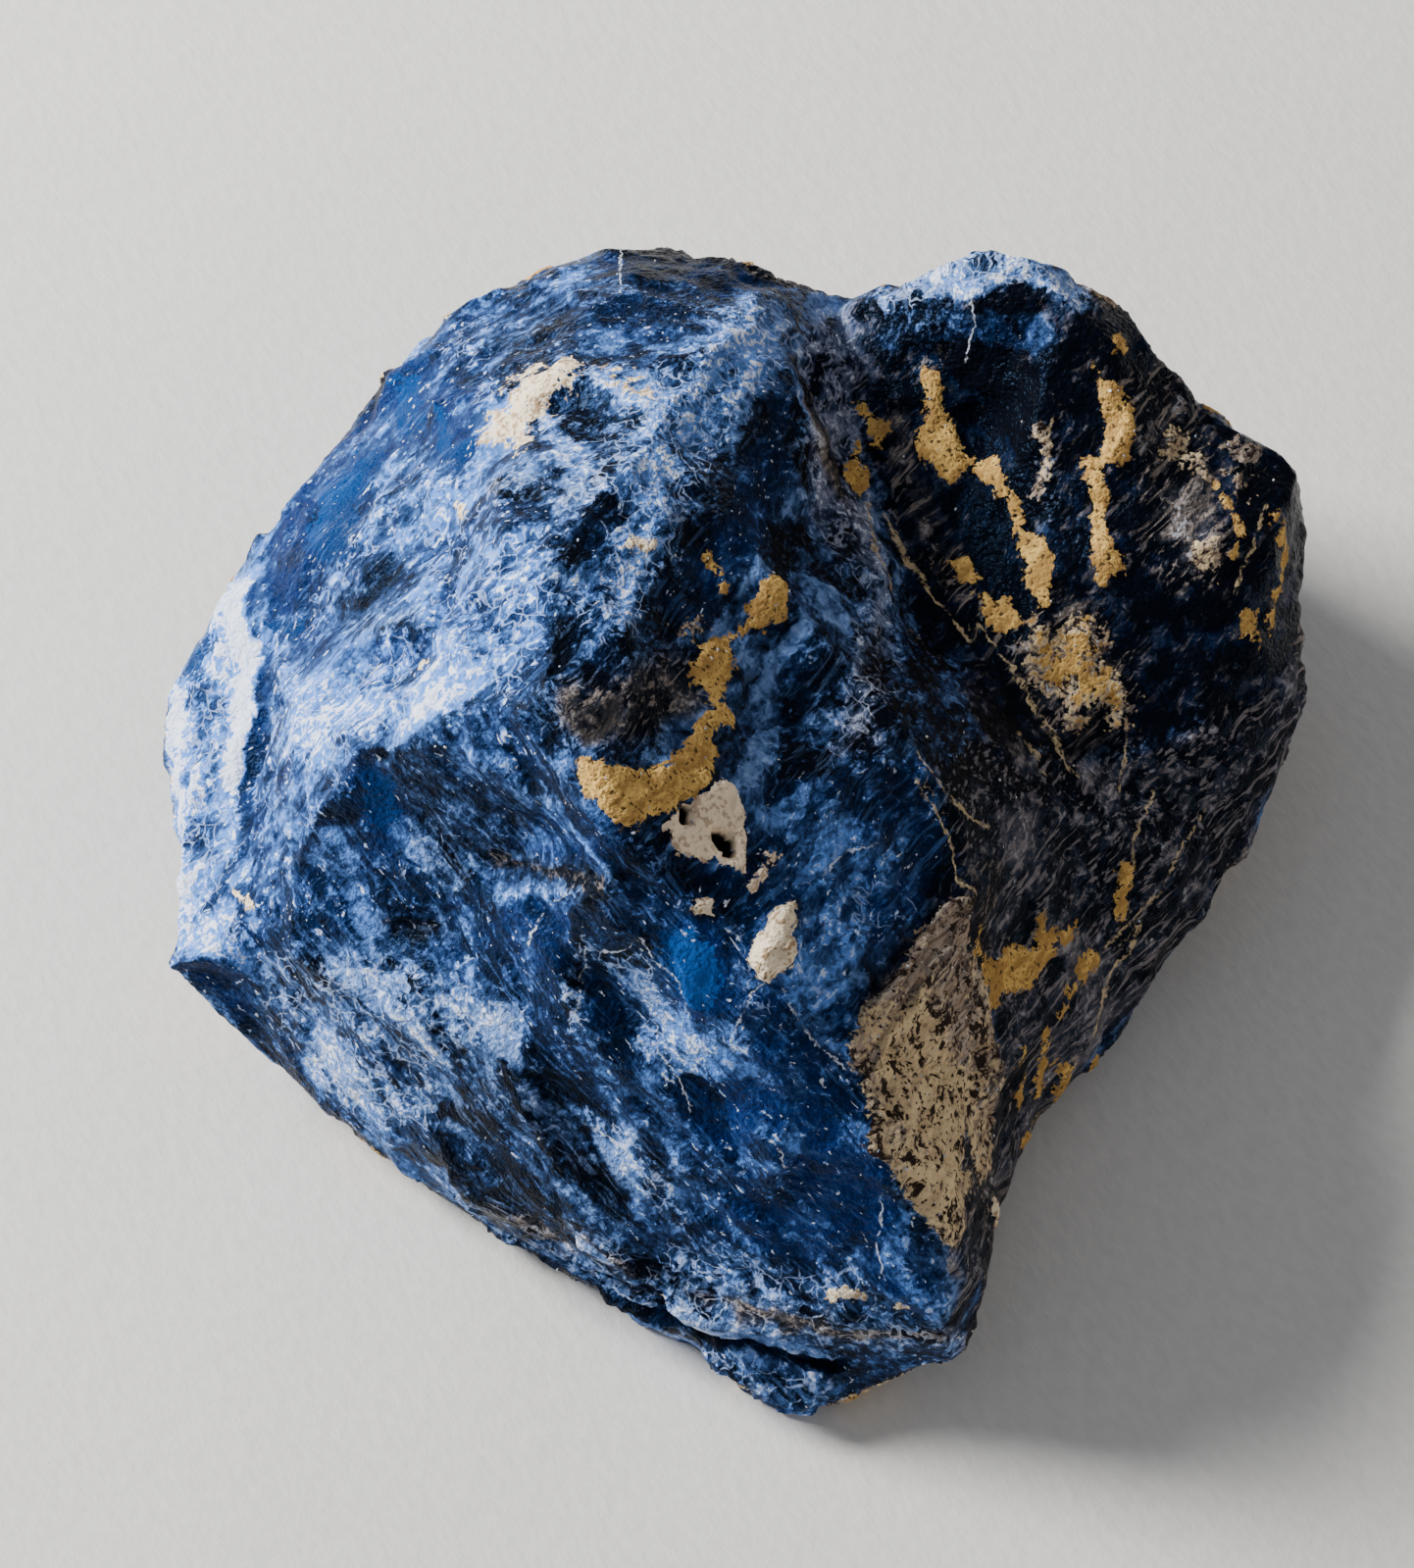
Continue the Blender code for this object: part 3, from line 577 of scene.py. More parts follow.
class GrainSettings(PropertyGroup):
    """Loose grains that stick to the crusts."""

    density: FloatProperty(
        name="Density", description="Grains per square metre where they lie thickest", default=3.5e5)
    size: FloatProperty(
        name="Size", description="Size of a middling grain", default=0.24 * MM, unit="LENGTH")
    seed: IntProperty(
        name="Seed", description="Seed of the scatter", default=4)
    colour: FloatVectorProperty(
        name="Colour", description="Grain colour", subtype="COLOR", default=(0.8, 0.76, 0.7))


class StageSettings(PropertyGroup):
    """Floor and lights."""

    floor: FloatVectorProperty(
        name="Floor", description="Pale paper", subtype="COLOR", default=(0.74, 0.73, 0.71))
    key_power: FloatProperty(
        name="Window light", description="Power of the large soft light", default=10.5, unit="POWER")
    fill_power: FloatProperty(
        name="Warm fill", description="Power of the weak light opposite", default=0.5, unit="POWER")
    sky: FloatProperty(
        name="Room light", description="Strength of the even light", default=0.32)


def camera_axes():
    """The camera's place in mm, and its right, up and forward directions."""
    lift = math.radians(CAMERA_ELEVATION)
    right = np.array([1.0, 0.0, 0.0])
    up = np.array([0.0, math.sin(lift), math.cos(lift)])
    forward = np.array([0.0, math.cos(lift), -math.sin(lift)])
    return np.array(CAMERA_TARGET) - CAMERA_DISTANCE * forward, right, up, forward


def on_sheet(places):
    """Where points in mm fall on the drawing sheet."""
    eye, right, up, forward = camera_axes()
    rays = places - eye
    depth = rays @ forward
    scale = CAMERA_LENS / CAMERA_SENSOR * SHEET_SIZE[1]
    across = SHEET_SIZE[0] / 2 + scale * (rays @ right) / depth
    down = SHEET_SIZE[1] / 2 - scale * (rays @ up) / depth
    return np.column_stack([across, down])


def add_object(name, data):
    """A new object in the scene."""
    item = bpy.data.objects.new(name, data)
    bpy.context.scene.collection.objects.link(item)
    return item


def with_modifier(mesh, kind, **settings):
    """The mesh after one modifier with these settings."""
    holder = add_object("holder", mesh)
    modifier = holder.modifiers.new(kind.title(), kind)
    for setting, value in settings.items():
        setattr(modifier, setting, value)
    graph = bpy.context.evaluated_depsgraph_get()
    result = bpy.data.meshes.new_from_object(holder.evaluated_get(graph))
    bpy.data.objects.remove(holder)
    bpy.data.meshes.remove(mesh)
    return result


def ramp(values, low, high):
    """0 below low, 1 above high, smooth between."""
    t = np.clip((values - low) / (high - low), 0, 1)
    return t * t * (3 - 2 * t)


def fade(distance, reach):
    """1 at no distance, falling smoothly to 0 at reach."""
    return ramp(1 - distance / reach, 0, 1)


def path_distance(points, path):
    """Distance from each point of the sheet to a path."""
    nearest = np.full(len(points), np.inf)
    for start, end in zip(path, path[1:]):
        start, end = np.array(start, float), np.array(end, float)
        along = end - start
        t = np.clip((points - start) @ along / (along @ along), 0, 1)
        nearest = np.minimum(nearest, np.linalg.norm(points - start - t[:, None] * along, axis=1))
    return nearest


def inside_distance(points, corners):
    """Distance from each point of the sheet to an outline, positive inside it."""
    inside = np.zeros(len(points), bool)
    for (x0, y0), (x1, y1) in zip(corners, corners[1:] + corners[:1]):
        crosses = (y0 > points[:, 1]) != (y1 > points[:, 1])
        slope = (x1 - x0) / ((y1 - y0) or 1e-9)
        inside ^= crosses & (points[:, 0] < x0 + (points[:, 1] - y0) * slope)
    edge = path_distance(points, corners + corners[:1])
    return np.where(inside, edge, -edge)


class Skin:
    """The vertices of a mesh in mm as an array, with their normals and a search tree."""

    def __init__(self, mesh):
        self.mesh = mesh
        self.places = np.empty((len(mesh.vertices), 3), np.float32)
        mesh.vertices.foreach_get("co", self.places.ravel())
        self.normals = np.empty_like(self.places)
        self.renew()

    def renew(self):
        """Writes the places back to the mesh and reads the normals and the tree again."""
        self.mesh.vertices.foreach_set("co", self.places.ravel())
        self.mesh.update()
        self.mesh.vertex_normals.foreach_get("vector", self.normals.ravel())
        self.tree = kdtree.KDTree(len(self.places))
        for index, place in enumerate(self.places.tolist()):
            self.tree.insert(place, index)
        self.tree.balance()

    def near(self, centre, reach):
        """Indices and distances of the vertices within reach of a point."""
        found = self.tree.find_range(centre, reach)
        return np.array([f[1] for f in found], int), np.array([f[2] for f in found])

    def turbulence(self, size, octaves, seed, stretch=None, long=1.0):
        """Noise of this size in mm at every vertex, about -1 to 1, drawn out along a direction if given."""
        points = self.places / size + seed * 7.31
        if stretch is not None:
            along = points @ stretch
            points = points - np.outer(along * (1 - 1 / long), stretch)
        return np.array([noise.fractal(p, 0.8, 2.1, octaves) for p in map(Vector, points.tolist())])

    def smoothed(self, values, rounds):
        """Values spread over their neighbours a number of times."""
        edges = np.empty(2 * len(self.mesh.edges), np.int32)
        self.mesh.edges.foreach_get("vertices", edges)
        a, b = edges[::2], edges[1::2]
        count = np.bincount(edges, minlength=len(values)).astype(float)
        values = np.array(values, float)
        for _ in range(rounds):
            total = np.bincount(a, values[b], len(values)) + np.bincount(b, values[a], len(values))
            values = 0.5 * values + 0.5 * total / count
        return values

    def paint(self, name, values):
        """Keeps values on the mesh as an attribute."""
        layer = self.mesh.attributes.new(name, "FLOAT", "POINT")
        layer.data.foreach_set("value", np.asarray(values, np.float32))


def grain_direction(name):
    """The unit direction the stone splits along on a face."""
    start, end = (np.array(p, float) for p in GRAIN[name])
    return (end - start) / np.linalg.norm(end - start)


def base_skin(edge):
    """The stone's solid as an even skin in mm, its facets rounded off."""
    shape = bmesh.new()
    shape.from_mesh(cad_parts[STONE_NODE].data)
    bmesh.ops.remove_doubles(shape, verts=shape.verts, dist=1e-6)
    mesh = bpy.data.meshes.new("skin")
    shape.to_mesh(mesh)
    shape.free()
    mesh.transform(Matrix.Scale(1 / MM, 4))
    mesh = with_modifier(mesh, "REMESH", mode="VOXEL", voxel_size=COARSE_STEP)
    mesh = with_modifier(mesh, "SMOOTH", iterations=3, factor=0.5)
    mesh = with_modifier(mesh, "REMESH", mode="VOXEL", voxel_size=edge / MM)
    skin = Skin(mesh)
    skin.places += SKIN_LIFT * skin.normals
    return skin


def grain_stretched(skin, grain, long):
    """The skin's places shortened along each face's grain, so that cells of them come out drawn along it."""
    total = sum(grain.values()) + 1e-6
    drawn = skin.places.astype(float)
    for name, weight in grain.items():
        direction = grain_direction(name)
        drawn -= np.outer(weight / total * (skin.places @ direction) * (1 - 1 / long), direction)
    return drawn


def nearest_seed(points, seeds):
    """The seed nearest to each point, worked out for a batch of points at a time."""
    batch = 4000
    cells = np.empty(len(points), int)
    reach = (seeds**2).sum(axis=1)
    for start in range(0, len(points), batch):
        part = points[start:start + batch]
        cells[start:start + batch] = np.argmin(reach - 2 * part @ seeds.T, axis=1)
    return cells


def cell_means(values, cells, count):
    """The mean of some columns over each cell."""
    share = np.maximum(np.bincount(cells, minlength=count), 1)
    return np.column_stack([np.bincount(cells, column, count) / share for column in values.T])


def split_flats(skin, grain, size, long, strength, lean, dice):
    """Splits the skin into flats along its creases and grain. Returns a random level for each."""
    spread = np.column_stack([grain_stretched(skin, grain, long) / size, CREASE_WEIGHT * skin.normals])
    count = int(SKIN_AREA / (size * size * long))
    seeds = spread[dice.choice(len(spread), count, replace=False)]
    for _ in range(3):
        cells = nearest_seed(spread, seeds)
        seeds = cell_means(spread, cells, count)
    middle = cell_means(skin.places, cells, count)
    facing = cell_means(skin.normals, cells, count)
    facing += dice.normal(0, 1, facing.shape) * lean
    facing /= np.linalg.norm(facing, axis=1)[:, None] + 1e-9
    height = np.einsum("ij,ij->i", skin.places - middle[cells], facing[cells])
    reach = FACET_REACH * size
    shift = facing[cells] * np.clip(strength * height, -reach, reach)[:, None]
    skin.places -= np.column_stack([skin.smoothed(column, 1) for column in shift.T])
    skin.renew()
    return dice.random(count)[cells]


def sheet_jitter(skin):
    """Small wanderings of each vertex on the sheet, so that marks have natural edges."""
    jitter = np.zeros((len(skin.places), 2))
    for size, reach, seed in ((4.0, 3.5, 1), (1.1, 2.0, 2)):
        for axis in (0, 1):
            jitter[:, axis] += reach * skin.turbulence(size, 2, seed + 0.5 * axis)
    return jitter


def seen_from_sheet(skin):
    """How well the sheet sees each vertex."""
    eye = camera_axes()[0]
    polygons = [tuple(face.vertices) for face in skin.mesh.polygons]
    tree = BVHTree.FromPolygons([Vector(p) for p in skin.places.tolist()], polygons)
    seen = np.zeros(len(skin.places))
    lifted = skin.places + SIGHT_LIFT * skin.normals
    for index, place in enumerate(lifted.tolist()):
        start = Vector(place)
        if tree.ray_cast(start, Vector(eye) - start, 200.0)[0] is None:
            seen[index] = 1
    rays = eye - skin.places
    rays /= np.linalg.norm(rays, axis=1)[:, None]
    slant = np.einsum("ij,ij->i", rays, skin.normals)
    return skin.smoothed(seen * ramp(slant, 0.02, 0.2), 6)


def near_path(sheet, path, width):
    """1 along a path on the sheet, fading out beyond its half width."""
    return fade(np.maximum(path_distance(sheet, path) - 0.35 * width, 0), 1.1 * width)


def nudge_corners(skin):
    """Moves the skin around the named corners."""
    for point, way, reach in NUDGES.values():
        near, distance = skin.near(point, reach)
        skin.places[near] += np.outer(fade(distance, reach), way)
    skin.renew()


def raise_relief(skin, sheet, seen):
    """Presses the relief of the faces into the skin."""
    lift = np.zeros(len(sheet))
    for path, width, height in RELIEF.values():
        lift += height * near_path(sheet, path, width)
    skin.places += skin.normals * (seen * lift)[:, None]
    skin.renew()


def paint_lines(skin, name, sheet, paths, seen):
    """How far each vertex lies to one side of the nearest line, and how near it is, against their reach."""
    offset = np.ones(len(sheet))
    near = np.zeros(len(sheet))
    for path in paths.values():
        for start, end in zip(path, path[1:]):
            start, end = np.array(start, float), np.array(end, float)
            along = end - start
            gap = sheet - start
            across = (gap[:, 0] * along[1] - gap[:, 1] * along[0]) / np.linalg.norm(along)
            closeness = 1 - path_distance(sheet, [start, end]) / LINE_REACH
            nearer = closeness > near
            offset[nearer] = across[nearer] / LINE_REACH
            near[nearer] = closeness[nearer]
    skin.paint(name, offset)
    skin.paint(name + "_near", seen * near)


def signed_marks(sheet, soft, patches, streaks=None):
    """1 well inside the marks, 0 on their edge and -1 well outside, over soft sheet steps."""
    level = np.full(len(sheet), -1.0)
    for corners in patches.values():
        level = np.maximum(level, np.clip(inside_distance(sheet, corners) / soft, -1, 1))
    for path, width in (streaks or {}).values():
        level = np.maximum(level, np.clip((width - path_distance(sheet, path)) / soft, -1, 1))
    return level


def natural_tones(skin):
    """How blue and how frosted a side is that the sheet doesn't see, and its grain."""
    cloud = skin.turbulence(5, 4, 6)
    eastward = ramp(skin.normals[:, 0], -0.1, 0.6)
    blue = np.clip(0.45 + 0.6 * skin.turbulence(16, 3, 5) + 0.25 * cloud, 0, 1) - 0.5 * eastward
    frost = np.clip(0.34 + 0.35 * skin.turbulence(11, 3, 8) + 0.25 * cloud, 0, 1) - 0.15 * eastward
    side = {"west": -skin.normals[:, 0], "south": -skin.normals[:, 1], "east": skin.normals[:, 0]}
    grain = {name: ramp(side.get(name, np.zeros(len(blue))), 0.2, 0.7) for name in GRAIN}
    return blue, frost, grain


def paint_tones(skin, sheet, seen):
    """Paints how blue and how frosted the stone is. Returns the weight of each grain direction."""
    blue, frost, grain = natural_tones(skin)
    drawn_blue, drawn_frost = blue.copy(), frost.copy()
    for face in FACES.values():
        cover = ramp(inside_distance(sheet, face["corners"]), -14, 14)
        drawn_blue += cover * (face["blue"] - drawn_blue)
        drawn_frost += cover * (face["frost"] - drawn_frost)
        for name in grain:
            grain[name] += cover * seen * ((name == face["grain"]) - grain[name])
    for path, width, to_blue, to_frost in TONES.values():
        cover = near_path(sheet, path, width)
        drawn_blue += cover * (to_blue - drawn_blue)
        drawn_frost += cover * (to_frost - drawn_frost)
    skin.paint("blue", blue + seen * (drawn_blue - blue))
    skin.paint("frost", frost + seen * (drawn_frost - frost))
    for name, weight in grain.items():
        skin.paint("grain_" + name, weight)
    return grain


def drawn_marks(sheet):
    """The crusts, windows and holes that are drawn on the sheet, each as a level at every vertex."""
    mottled = signed_marks(sheet, 40, MOTTLED_PATCHES) - 0.45
    mottled_tan = signed_marks(sheet, 30, MOTTLED_PATCHES) - 0.15
    flaky = signed_marks(sheet, 30, FLAKY_PATCHES) - 0.1
    speckled = signed_marks(sheet, 26, SPECKLED_PATCHES)
    tan = signed_marks(sheet, 12, TAN_PATCHES, TAN_STREAKS)
    return {
        "window": signed_marks(sheet, 16, WINDOWS),
        "ochre": np.maximum(signed_marks(sheet, 10, OCHRE_PATCHES, OCHRE_STREAKS), mottled),
        "pink": signed_marks(sheet, 10, PINK_PATCHES, PINK_STREAKS),
        "calcite": np.maximum(signed_marks(sheet, 10, CALCITE_PATCHES, CALCITE_STREAKS), flaky),
        "tan": np.maximum.reduce([tan, speckled, mottled_tan]),
        "hole": signed_marks(sheet, 5, HOLES),
    }


def paint_marks(skin, sheet, seen):
    """Paints the crusts, windows and holes. Returns each one's level at every vertex."""
    marks = {}
    for name, drawn in drawn_marks(sheet).items():
        hidden = -1.0
        if name in HIDDEN_MARKS:
            size, seed, rarity = HIDDEN_MARKS[name]
            hidden = np.clip((skin.turbulence(size, 4, seed) - rarity) * 6, -1, 1)
        marks[name] = hidden + seen * (drawn - hidden)
        skin.paint(name, marks[name])
    return marks


def carve(skin, settings, grain, marks, lump):
    """Grooves along the grain, the crusts' relief, the holes and the finest hackle."""
    lift = np.zeros(len(skin.places))
    for name, weight in grain.items():
        streaks = np.abs(skin.turbulence(2.2, 3, 31, grain_direction(name), 4.0))
        lift -= weight * settings.groove / MM * streaks
    crusted = np.maximum.reduce([marks[name] for name in ("ochre", "pink", "tan")])
    lift += settings.crust / MM * ramp(crusted, -0.15, 0.25)
    lift += 0.25 * ramp(marks["calcite"], -0.1, 0.5) + 0.9 * lump * (1 + 0.5 * skin.turbulence(1.6, 2, 35))
    lift -= HOLE_DEPTH * ramp(marks["hole"], -0.1, 0.9)
    lift += settings.hackle / MM * skin.turbulence(0.9, 2, 33)
    skin.places += skin.normals * lift[:, None]
    skin.renew()


def strike_pits(skin, tan, dice):
    """Small round pits in the tan crust."""
    for index in dice.choice(np.flatnonzero(tan > 0.1), PIT_COUNT):
        radius = dice.uniform(*PIT_RADII)
        near, distance = skin.near(skin.places[index], radius)
        skin.places[near] -= skin.normals[near] * (PIT_DEPTH * radius * fade(distance, radius))[:, None]
    skin.renew()


def paint_edges(skin):
    """How sharply the skin stands out, where it is bruised first."""
    rounded = np.column_stack([skin.smoothed(skin.places[:, axis], 8) for axis in range(3)])
    proud = np.einsum("ij,ij->i", skin.places - rounded, skin.normals)
    skin.paint("edge", np.clip(proud / EDGE_RISE, -1, 1))


def broken_skin(settings):
    """The whole skin of the stone, shaped and painted."""
    dice = np.random.default_rng(settings.seed)
    skin = base_skin(settings.skin_step)
    nudge_corners(skin)
    jitter = sheet_jitter(skin)
    seen = seen_from_sheet(skin)
    raise_relief(skin, on_sheet(skin.places) + jitter, seen)
    sheet = on_sheet(skin.places) + jitter
    grain = paint_tones(skin, sheet + 2.0 * jitter, seen)
    marks = paint_marks(skin, sheet, seen)
    paint_lines(skin, "vein", sheet, VEINS, seen)
    paint_lines(skin, "thread", sheet, TAN_THREADS, seen)
    levels = []
    for size, long, strength, lean in FACET_LAYERS:
        levels.append(split_flats(skin, grain, size, long, strength, lean * settings.lean, dice))
    skin.paint("facet", 0.5 * (levels[0] + levels[1]))
    lump = seen * ramp(inside_distance(sheet, CALCITE_PATCHES["lump"]), -2, 12)
    carve(skin, settings, grain, marks, lump)
    strike_pits(skin, marks["tan"], dice)
    paint_edges(skin)
    bed = np.maximum.reduce([marks[name] for name in ("ochre", "pink", "tan", "calcite")])
    skin.paint("grain_cover", (0.25 * ramp(bed, -0.4, 0.2) + 0.05) * (skin.places[:, 2] > 1))
    skin.places[skin.places[:, 2] < 0.02, 2] = 0
    skin.renew()
    return skin


def add_node(tree, kind, inputs=None, **settings):
    """A shader node with its settings, and its inputs linked or set."""
    node = tree.nodes.new(kind)
    for name, value in settings.items():
        setattr(node, name, value)
    for name, value in (inputs or {}).items():
        if isinstance(value, bpy.types.NodeSocket):
            tree.links.new(value, node.inputs[name])
        else:
            node.inputs[name].default_value = value
    return node


def calc(tree, operation, *values):
    """The result of a math node on sockets or numbers."""
    return add_node(tree, "ShaderNodeMath", dict(enumerate(values)), operation=operation).outputs[0]


def step(tree, value, low, high):
    """0 below low and 1 above high, smooth between."""
    inputs = {"Value": value, "From Min": low, "From Max": high}
    return add_node(tree, "ShaderNodeMapRange", inputs, interpolation_type="SMOOTHSTEP").outputs[0]


def blend(tree, factor, first, second):
    """A mix of two colours, each a socket or three numbers."""
    inputs = {0: factor}
    for place, colour in ((6, first), (7, second)):
        linked = isinstance(colour, bpy.types.NodeSocket)
        inputs[place] = colour if linked else (*colour, 1.0)
    return add_node(tree, "ShaderNodeMix", inputs, data_type="RGBA").outputs[2]


def level_of(tree, name):
    """A painted attribute of the stone."""
    return add_node(tree, "ShaderNodeAttribute", attribute_name=name).outputs["Fac"]


def total_of(tree, start, *terms):
    """Start plus each level's distance from its middle times its weight."""
    total = start
    for level, weight in terms:
        swing = calc(tree, "MULTIPLY", calc(tree, "SUBTRACT", level, 0.5), weight)
        total = calc(tree, "ADD", total, swing)
    return total


def weighted(pattern, mix):
    """The patterns of a mix, each with its weight."""
    return [(pattern[name], weight) for name, weight in mix.items()]


def noise_of(tree, vector, scale, detail=4.0, roughness=0.6):
    """Noise with features of 1 / scale mm."""
    inputs = {"Vector": vector, "Scale": scale, "Detail": detail, "Roughness": roughness}
    return add_node(tree, "ShaderNodeTexNoise", inputs).outputs["Fac"]


def flake_noise(tree, vector, scale):
    """A random level for each small flake of 1 / scale mm."""
    inputs = {"Vector": vector, "Scale": scale, "Randomness": 1.0}
    cells = add_node(tree, "ShaderNodeTexVoronoi", inputs).outputs["Color"]
    return add_node(tree, "ShaderNodeSeparateColor", {"Color": cells}).outputs[0]


def web_of(tree, vector, scale, width):
    """Thin lines between cells of 1 / scale mm."""
    inputs = {"Vector": vector, "Scale": scale}
    edge = add_node(tree, "ShaderNodeTexVoronoi", inputs, feature="DISTANCE_TO_EDGE").outputs[0]
    return step(tree, edge, width, 0.3 * width)


def warped(tree, vector, scale, reach):
    """Places in mm pushed about by noise of 1 / scale mm."""
    inputs = {"Vector": vector, "Scale": scale, "Detail": 1.0}
    push = add_node(tree, "ShaderNodeTexNoise", inputs).outputs["Color"]
    inputs = {0: push, 1: (reach,) * 3, 2: vector}
    return add_node(tree, "ShaderNodeVectorMath", inputs, operation="MULTIPLY_ADD").outputs[0]


def grain_place(tree, vector, long):
    """Places in mm turned to each face's grain and shortened along it."""
    chosen = None
    for name in GRAIN:
        turn = Vector(grain_direction(name)).to_track_quat("X", "Z").to_euler()
        inputs = {"Vector": vector, "Rotation": turn, "Scale": (long, 1, 1)}
        turned = add_node(tree, "ShaderNodeMapping", inputs, vector_type="TEXTURE").outputs[0]
        if chosen is None:
            chosen = turned
            continue
        inputs = {0: step(tree, level_of(tree, "grain_" + name), 0.45, 0.55), 4: chosen, 5: turned}
        chosen = add_node(tree, "ShaderNodeMix", inputs, data_type="VECTOR").outputs[1]
    return chosen


def stone_patterns(tree):
    """The noises, cells and lines that the stone's colours are made from."""
    place = add_node(tree, "ShaderNodeTexCoord").outputs["Object"]
    inputs = {0: place, 1: (1 / MM,) * 3}
    mm = add_node(tree, "ShaderNodeVectorMath", inputs, operation="MULTIPLY").outputs[0]
    wavy = warped(tree, mm, 0.7, 1.6)
    curled = warped(tree, wavy, 1.3, 0.4)
    gentle = warped(tree, mm, 0.25, 1.6)
    along = grain_place(tree, warped(tree, gentle, 1.2, 0.4), 3.5)
    combed = grain_place(tree, gentle, 14.0)
    return {
        "cloud": noise_of(tree, mm, 0.4),
        "patch": noise_of(tree, wavy, 1.0, 3.0),
        "ragged": noise_of(tree, wavy, 0.9, 4.0, 0.65),
        "pitted": noise_of(tree, wavy, 1.3, 3.0, 0.65),
        "streak": noise_of(tree, along, 1.0, 3.0),
        "comb": noise_of(tree, combed, 2.3, 3.0),
        "fleck": noise_of(tree, mm, 2.7, 1.5, 0.5),
        "dash": noise_of(tree, along, 3.2, 1.5, 0.5),
        "grit": noise_of(tree, wavy, 6.0, 1.0, 0.5),
        "plate": flake_noise(tree, along, 0.8),
        "flake": flake_noise(tree, wavy, 1.5),
        "chip": flake_noise(tree, wavy, 2.4),
        "web": web_of(tree, curled, 0.75, 0.06),
        "facet": level_of(tree, "facet"),
    }


def body_colour(tree, settings, pattern, clear):
    """Black matrix to navy to blue, with clear windows."""
    blue = level_of(tree, "blue")
    tone = total_of(tree, blue, *weighted(pattern, BODY_MIX))
    body = blend(tree, step(tree, tone, 0.0, 0.4), settings.black, settings.navy)
    body = blend(tree, step(tree, tone, 0.35, 1.0), body, settings.blue)
    glass = blend(tree, step(tree, blue, 0.85, 1.15), settings.glass, settings.window)
    return blend(tree, clear, body, glass)


def frost_tints(tree, settings):
    """How far the ground is bare matrix, the colour of its faint bruises and the colour of its frost."""
    blue = level_of(tree, "blue")
    stony = step(tree, blue, 0.2, 0.05)
    faint = blend(tree, stony, settings.bruise, FAINT_DUST)
    tint = blend(tree, step(tree, blue, 0.25, 0.7), settings.rime, settings.frost)
    return stony, faint, blend(tree, stony, tint, settings.dust)


def frosted(tree, settings, pattern, clear, tints, skin):
    """The body under a thin veil and snowy flecks where it is bruised. Also the veil itself."""
    frost = level_of(tree, "frost")
    stony, faint, tint = tints
    cover = calc(tree, "MULTIPLY_ADD", frost, 0.75, 0.06)
    cover = total_of(tree, cover, *weighted(pattern, FLECK_MIX))
    cover = calc(tree, "MULTIPLY_ADD", level_of(tree, "edge"), 0.2, cover)
    cover = calc(tree, "MULTIPLY_ADD", clear, -0.7, cover)
    veil = total_of(tree, frost, *weighted(pattern, VEIL_MIX))
    veil = calc(tree, "MULTIPLY_ADD", clear, -0.9, veil)
    haze = step(tree, calc(tree, "MAXIMUM", veil, calc(tree, "SUBTRACT", cover, 0.25)), 0.12, 0.8)
    strength = calc(tree, "MULTIPLY_ADD", step(tree, frost, 0.15, 0.75), 0.6, 0.4)
    snow = calc(tree, "MULTIPLY", step(tree, cover, 0.6, 0.92), strength)
    whitest = calc(tree, "MULTIPLY", step(tree, cover, 1.0, 1.16), step(tree, frost, 0.1, 0.8))
    pale = calc(tree, "MULTIPLY_ADD", stony, -0.6, 0.95)
    pale = calc(tree, "MULTIPLY", step(tree, veil, 0.5, 1.2), pale)
    skin = blend(tree, haze, skin, faint)
    skin = blend(tree, pale, skin, tint)
    skin = blend(tree, snow, skin, tint)
    skin = blend(tree, whitest, skin, settings.white)
    return skin, haze


def scratched(tree, settings, pattern, clear, tints, skin):
    """Fine lines along the grain, a web of threads and painted glints of light over the frost."""
    stony, _, tint = tints
    bruised = calc(tree, "ADD", level_of(tree, "frost"), pattern["cloud"])
    lines = calc(tree, "MULTIPLY", step(tree, pattern["comb"], 0.54, 0.64), step(tree, bruised, 0.4, 0.8))
    lines = calc(tree, "MULTIPLY", lines, calc(tree, "MULTIPLY_ADD", stony, 0.7, 0.2))
    skin = blend(tree, lines, skin, tint)
    web = step(tree, calc(tree, "ADD", bruised, pattern["patch"]), 1.45, 1.65)
    web = calc(tree, "MULTIPLY", pattern["web"], web)
    web = calc(tree, "MULTIPLY", web, calc(tree, "MULTIPLY_ADD", clear, -0.5, 0.6))
    skin = blend(tree, web, skin, blend(tree, 0.35, tint, settings.white))
    # painted highlight: sparse white dashes in the colour stand in for glints of light off the facets
    glint = total_of(tree, pattern["dash"], (pattern["chip"], 0.12), (pattern["patch"], 0.4))
    glint = calc(tree, "MULTIPLY", step(tree, glint, 0.71, 0.76), 0.7)
    glint = calc(tree, "MULTIPLY", glint, step(tree, level_of(tree, "blue"), 0.3, 0.6))
    return blend(tree, glint, skin, settings.white)


def veined(tree, settings, pattern, skin):
    """White veins and tan threads along the painted lines, ragged and broken."""
    for name, colour, wide in (("vein", settings.white, 0.11), ("thread", settings.tan, 0.15)):
        offset = total_of(tree, level_of(tree, name), (pattern["fleck"], 0.5), (pattern["patch"], 0.5))
        line = step(tree, calc(tree, "ABSOLUTE", offset), wide, 0.3 * wide)
        line = calc(tree, "MULTIPLY", line, step(tree, pattern["ragged"], 0.4, 0.56))
        line = calc(tree, "MULTIPLY", line, step(tree, level_of(tree, name + "_near"), 0.35, 0.7))
        skin = blend(tree, calc(tree, "MULTIPLY", line, 0.65), skin, colour)
    return skin


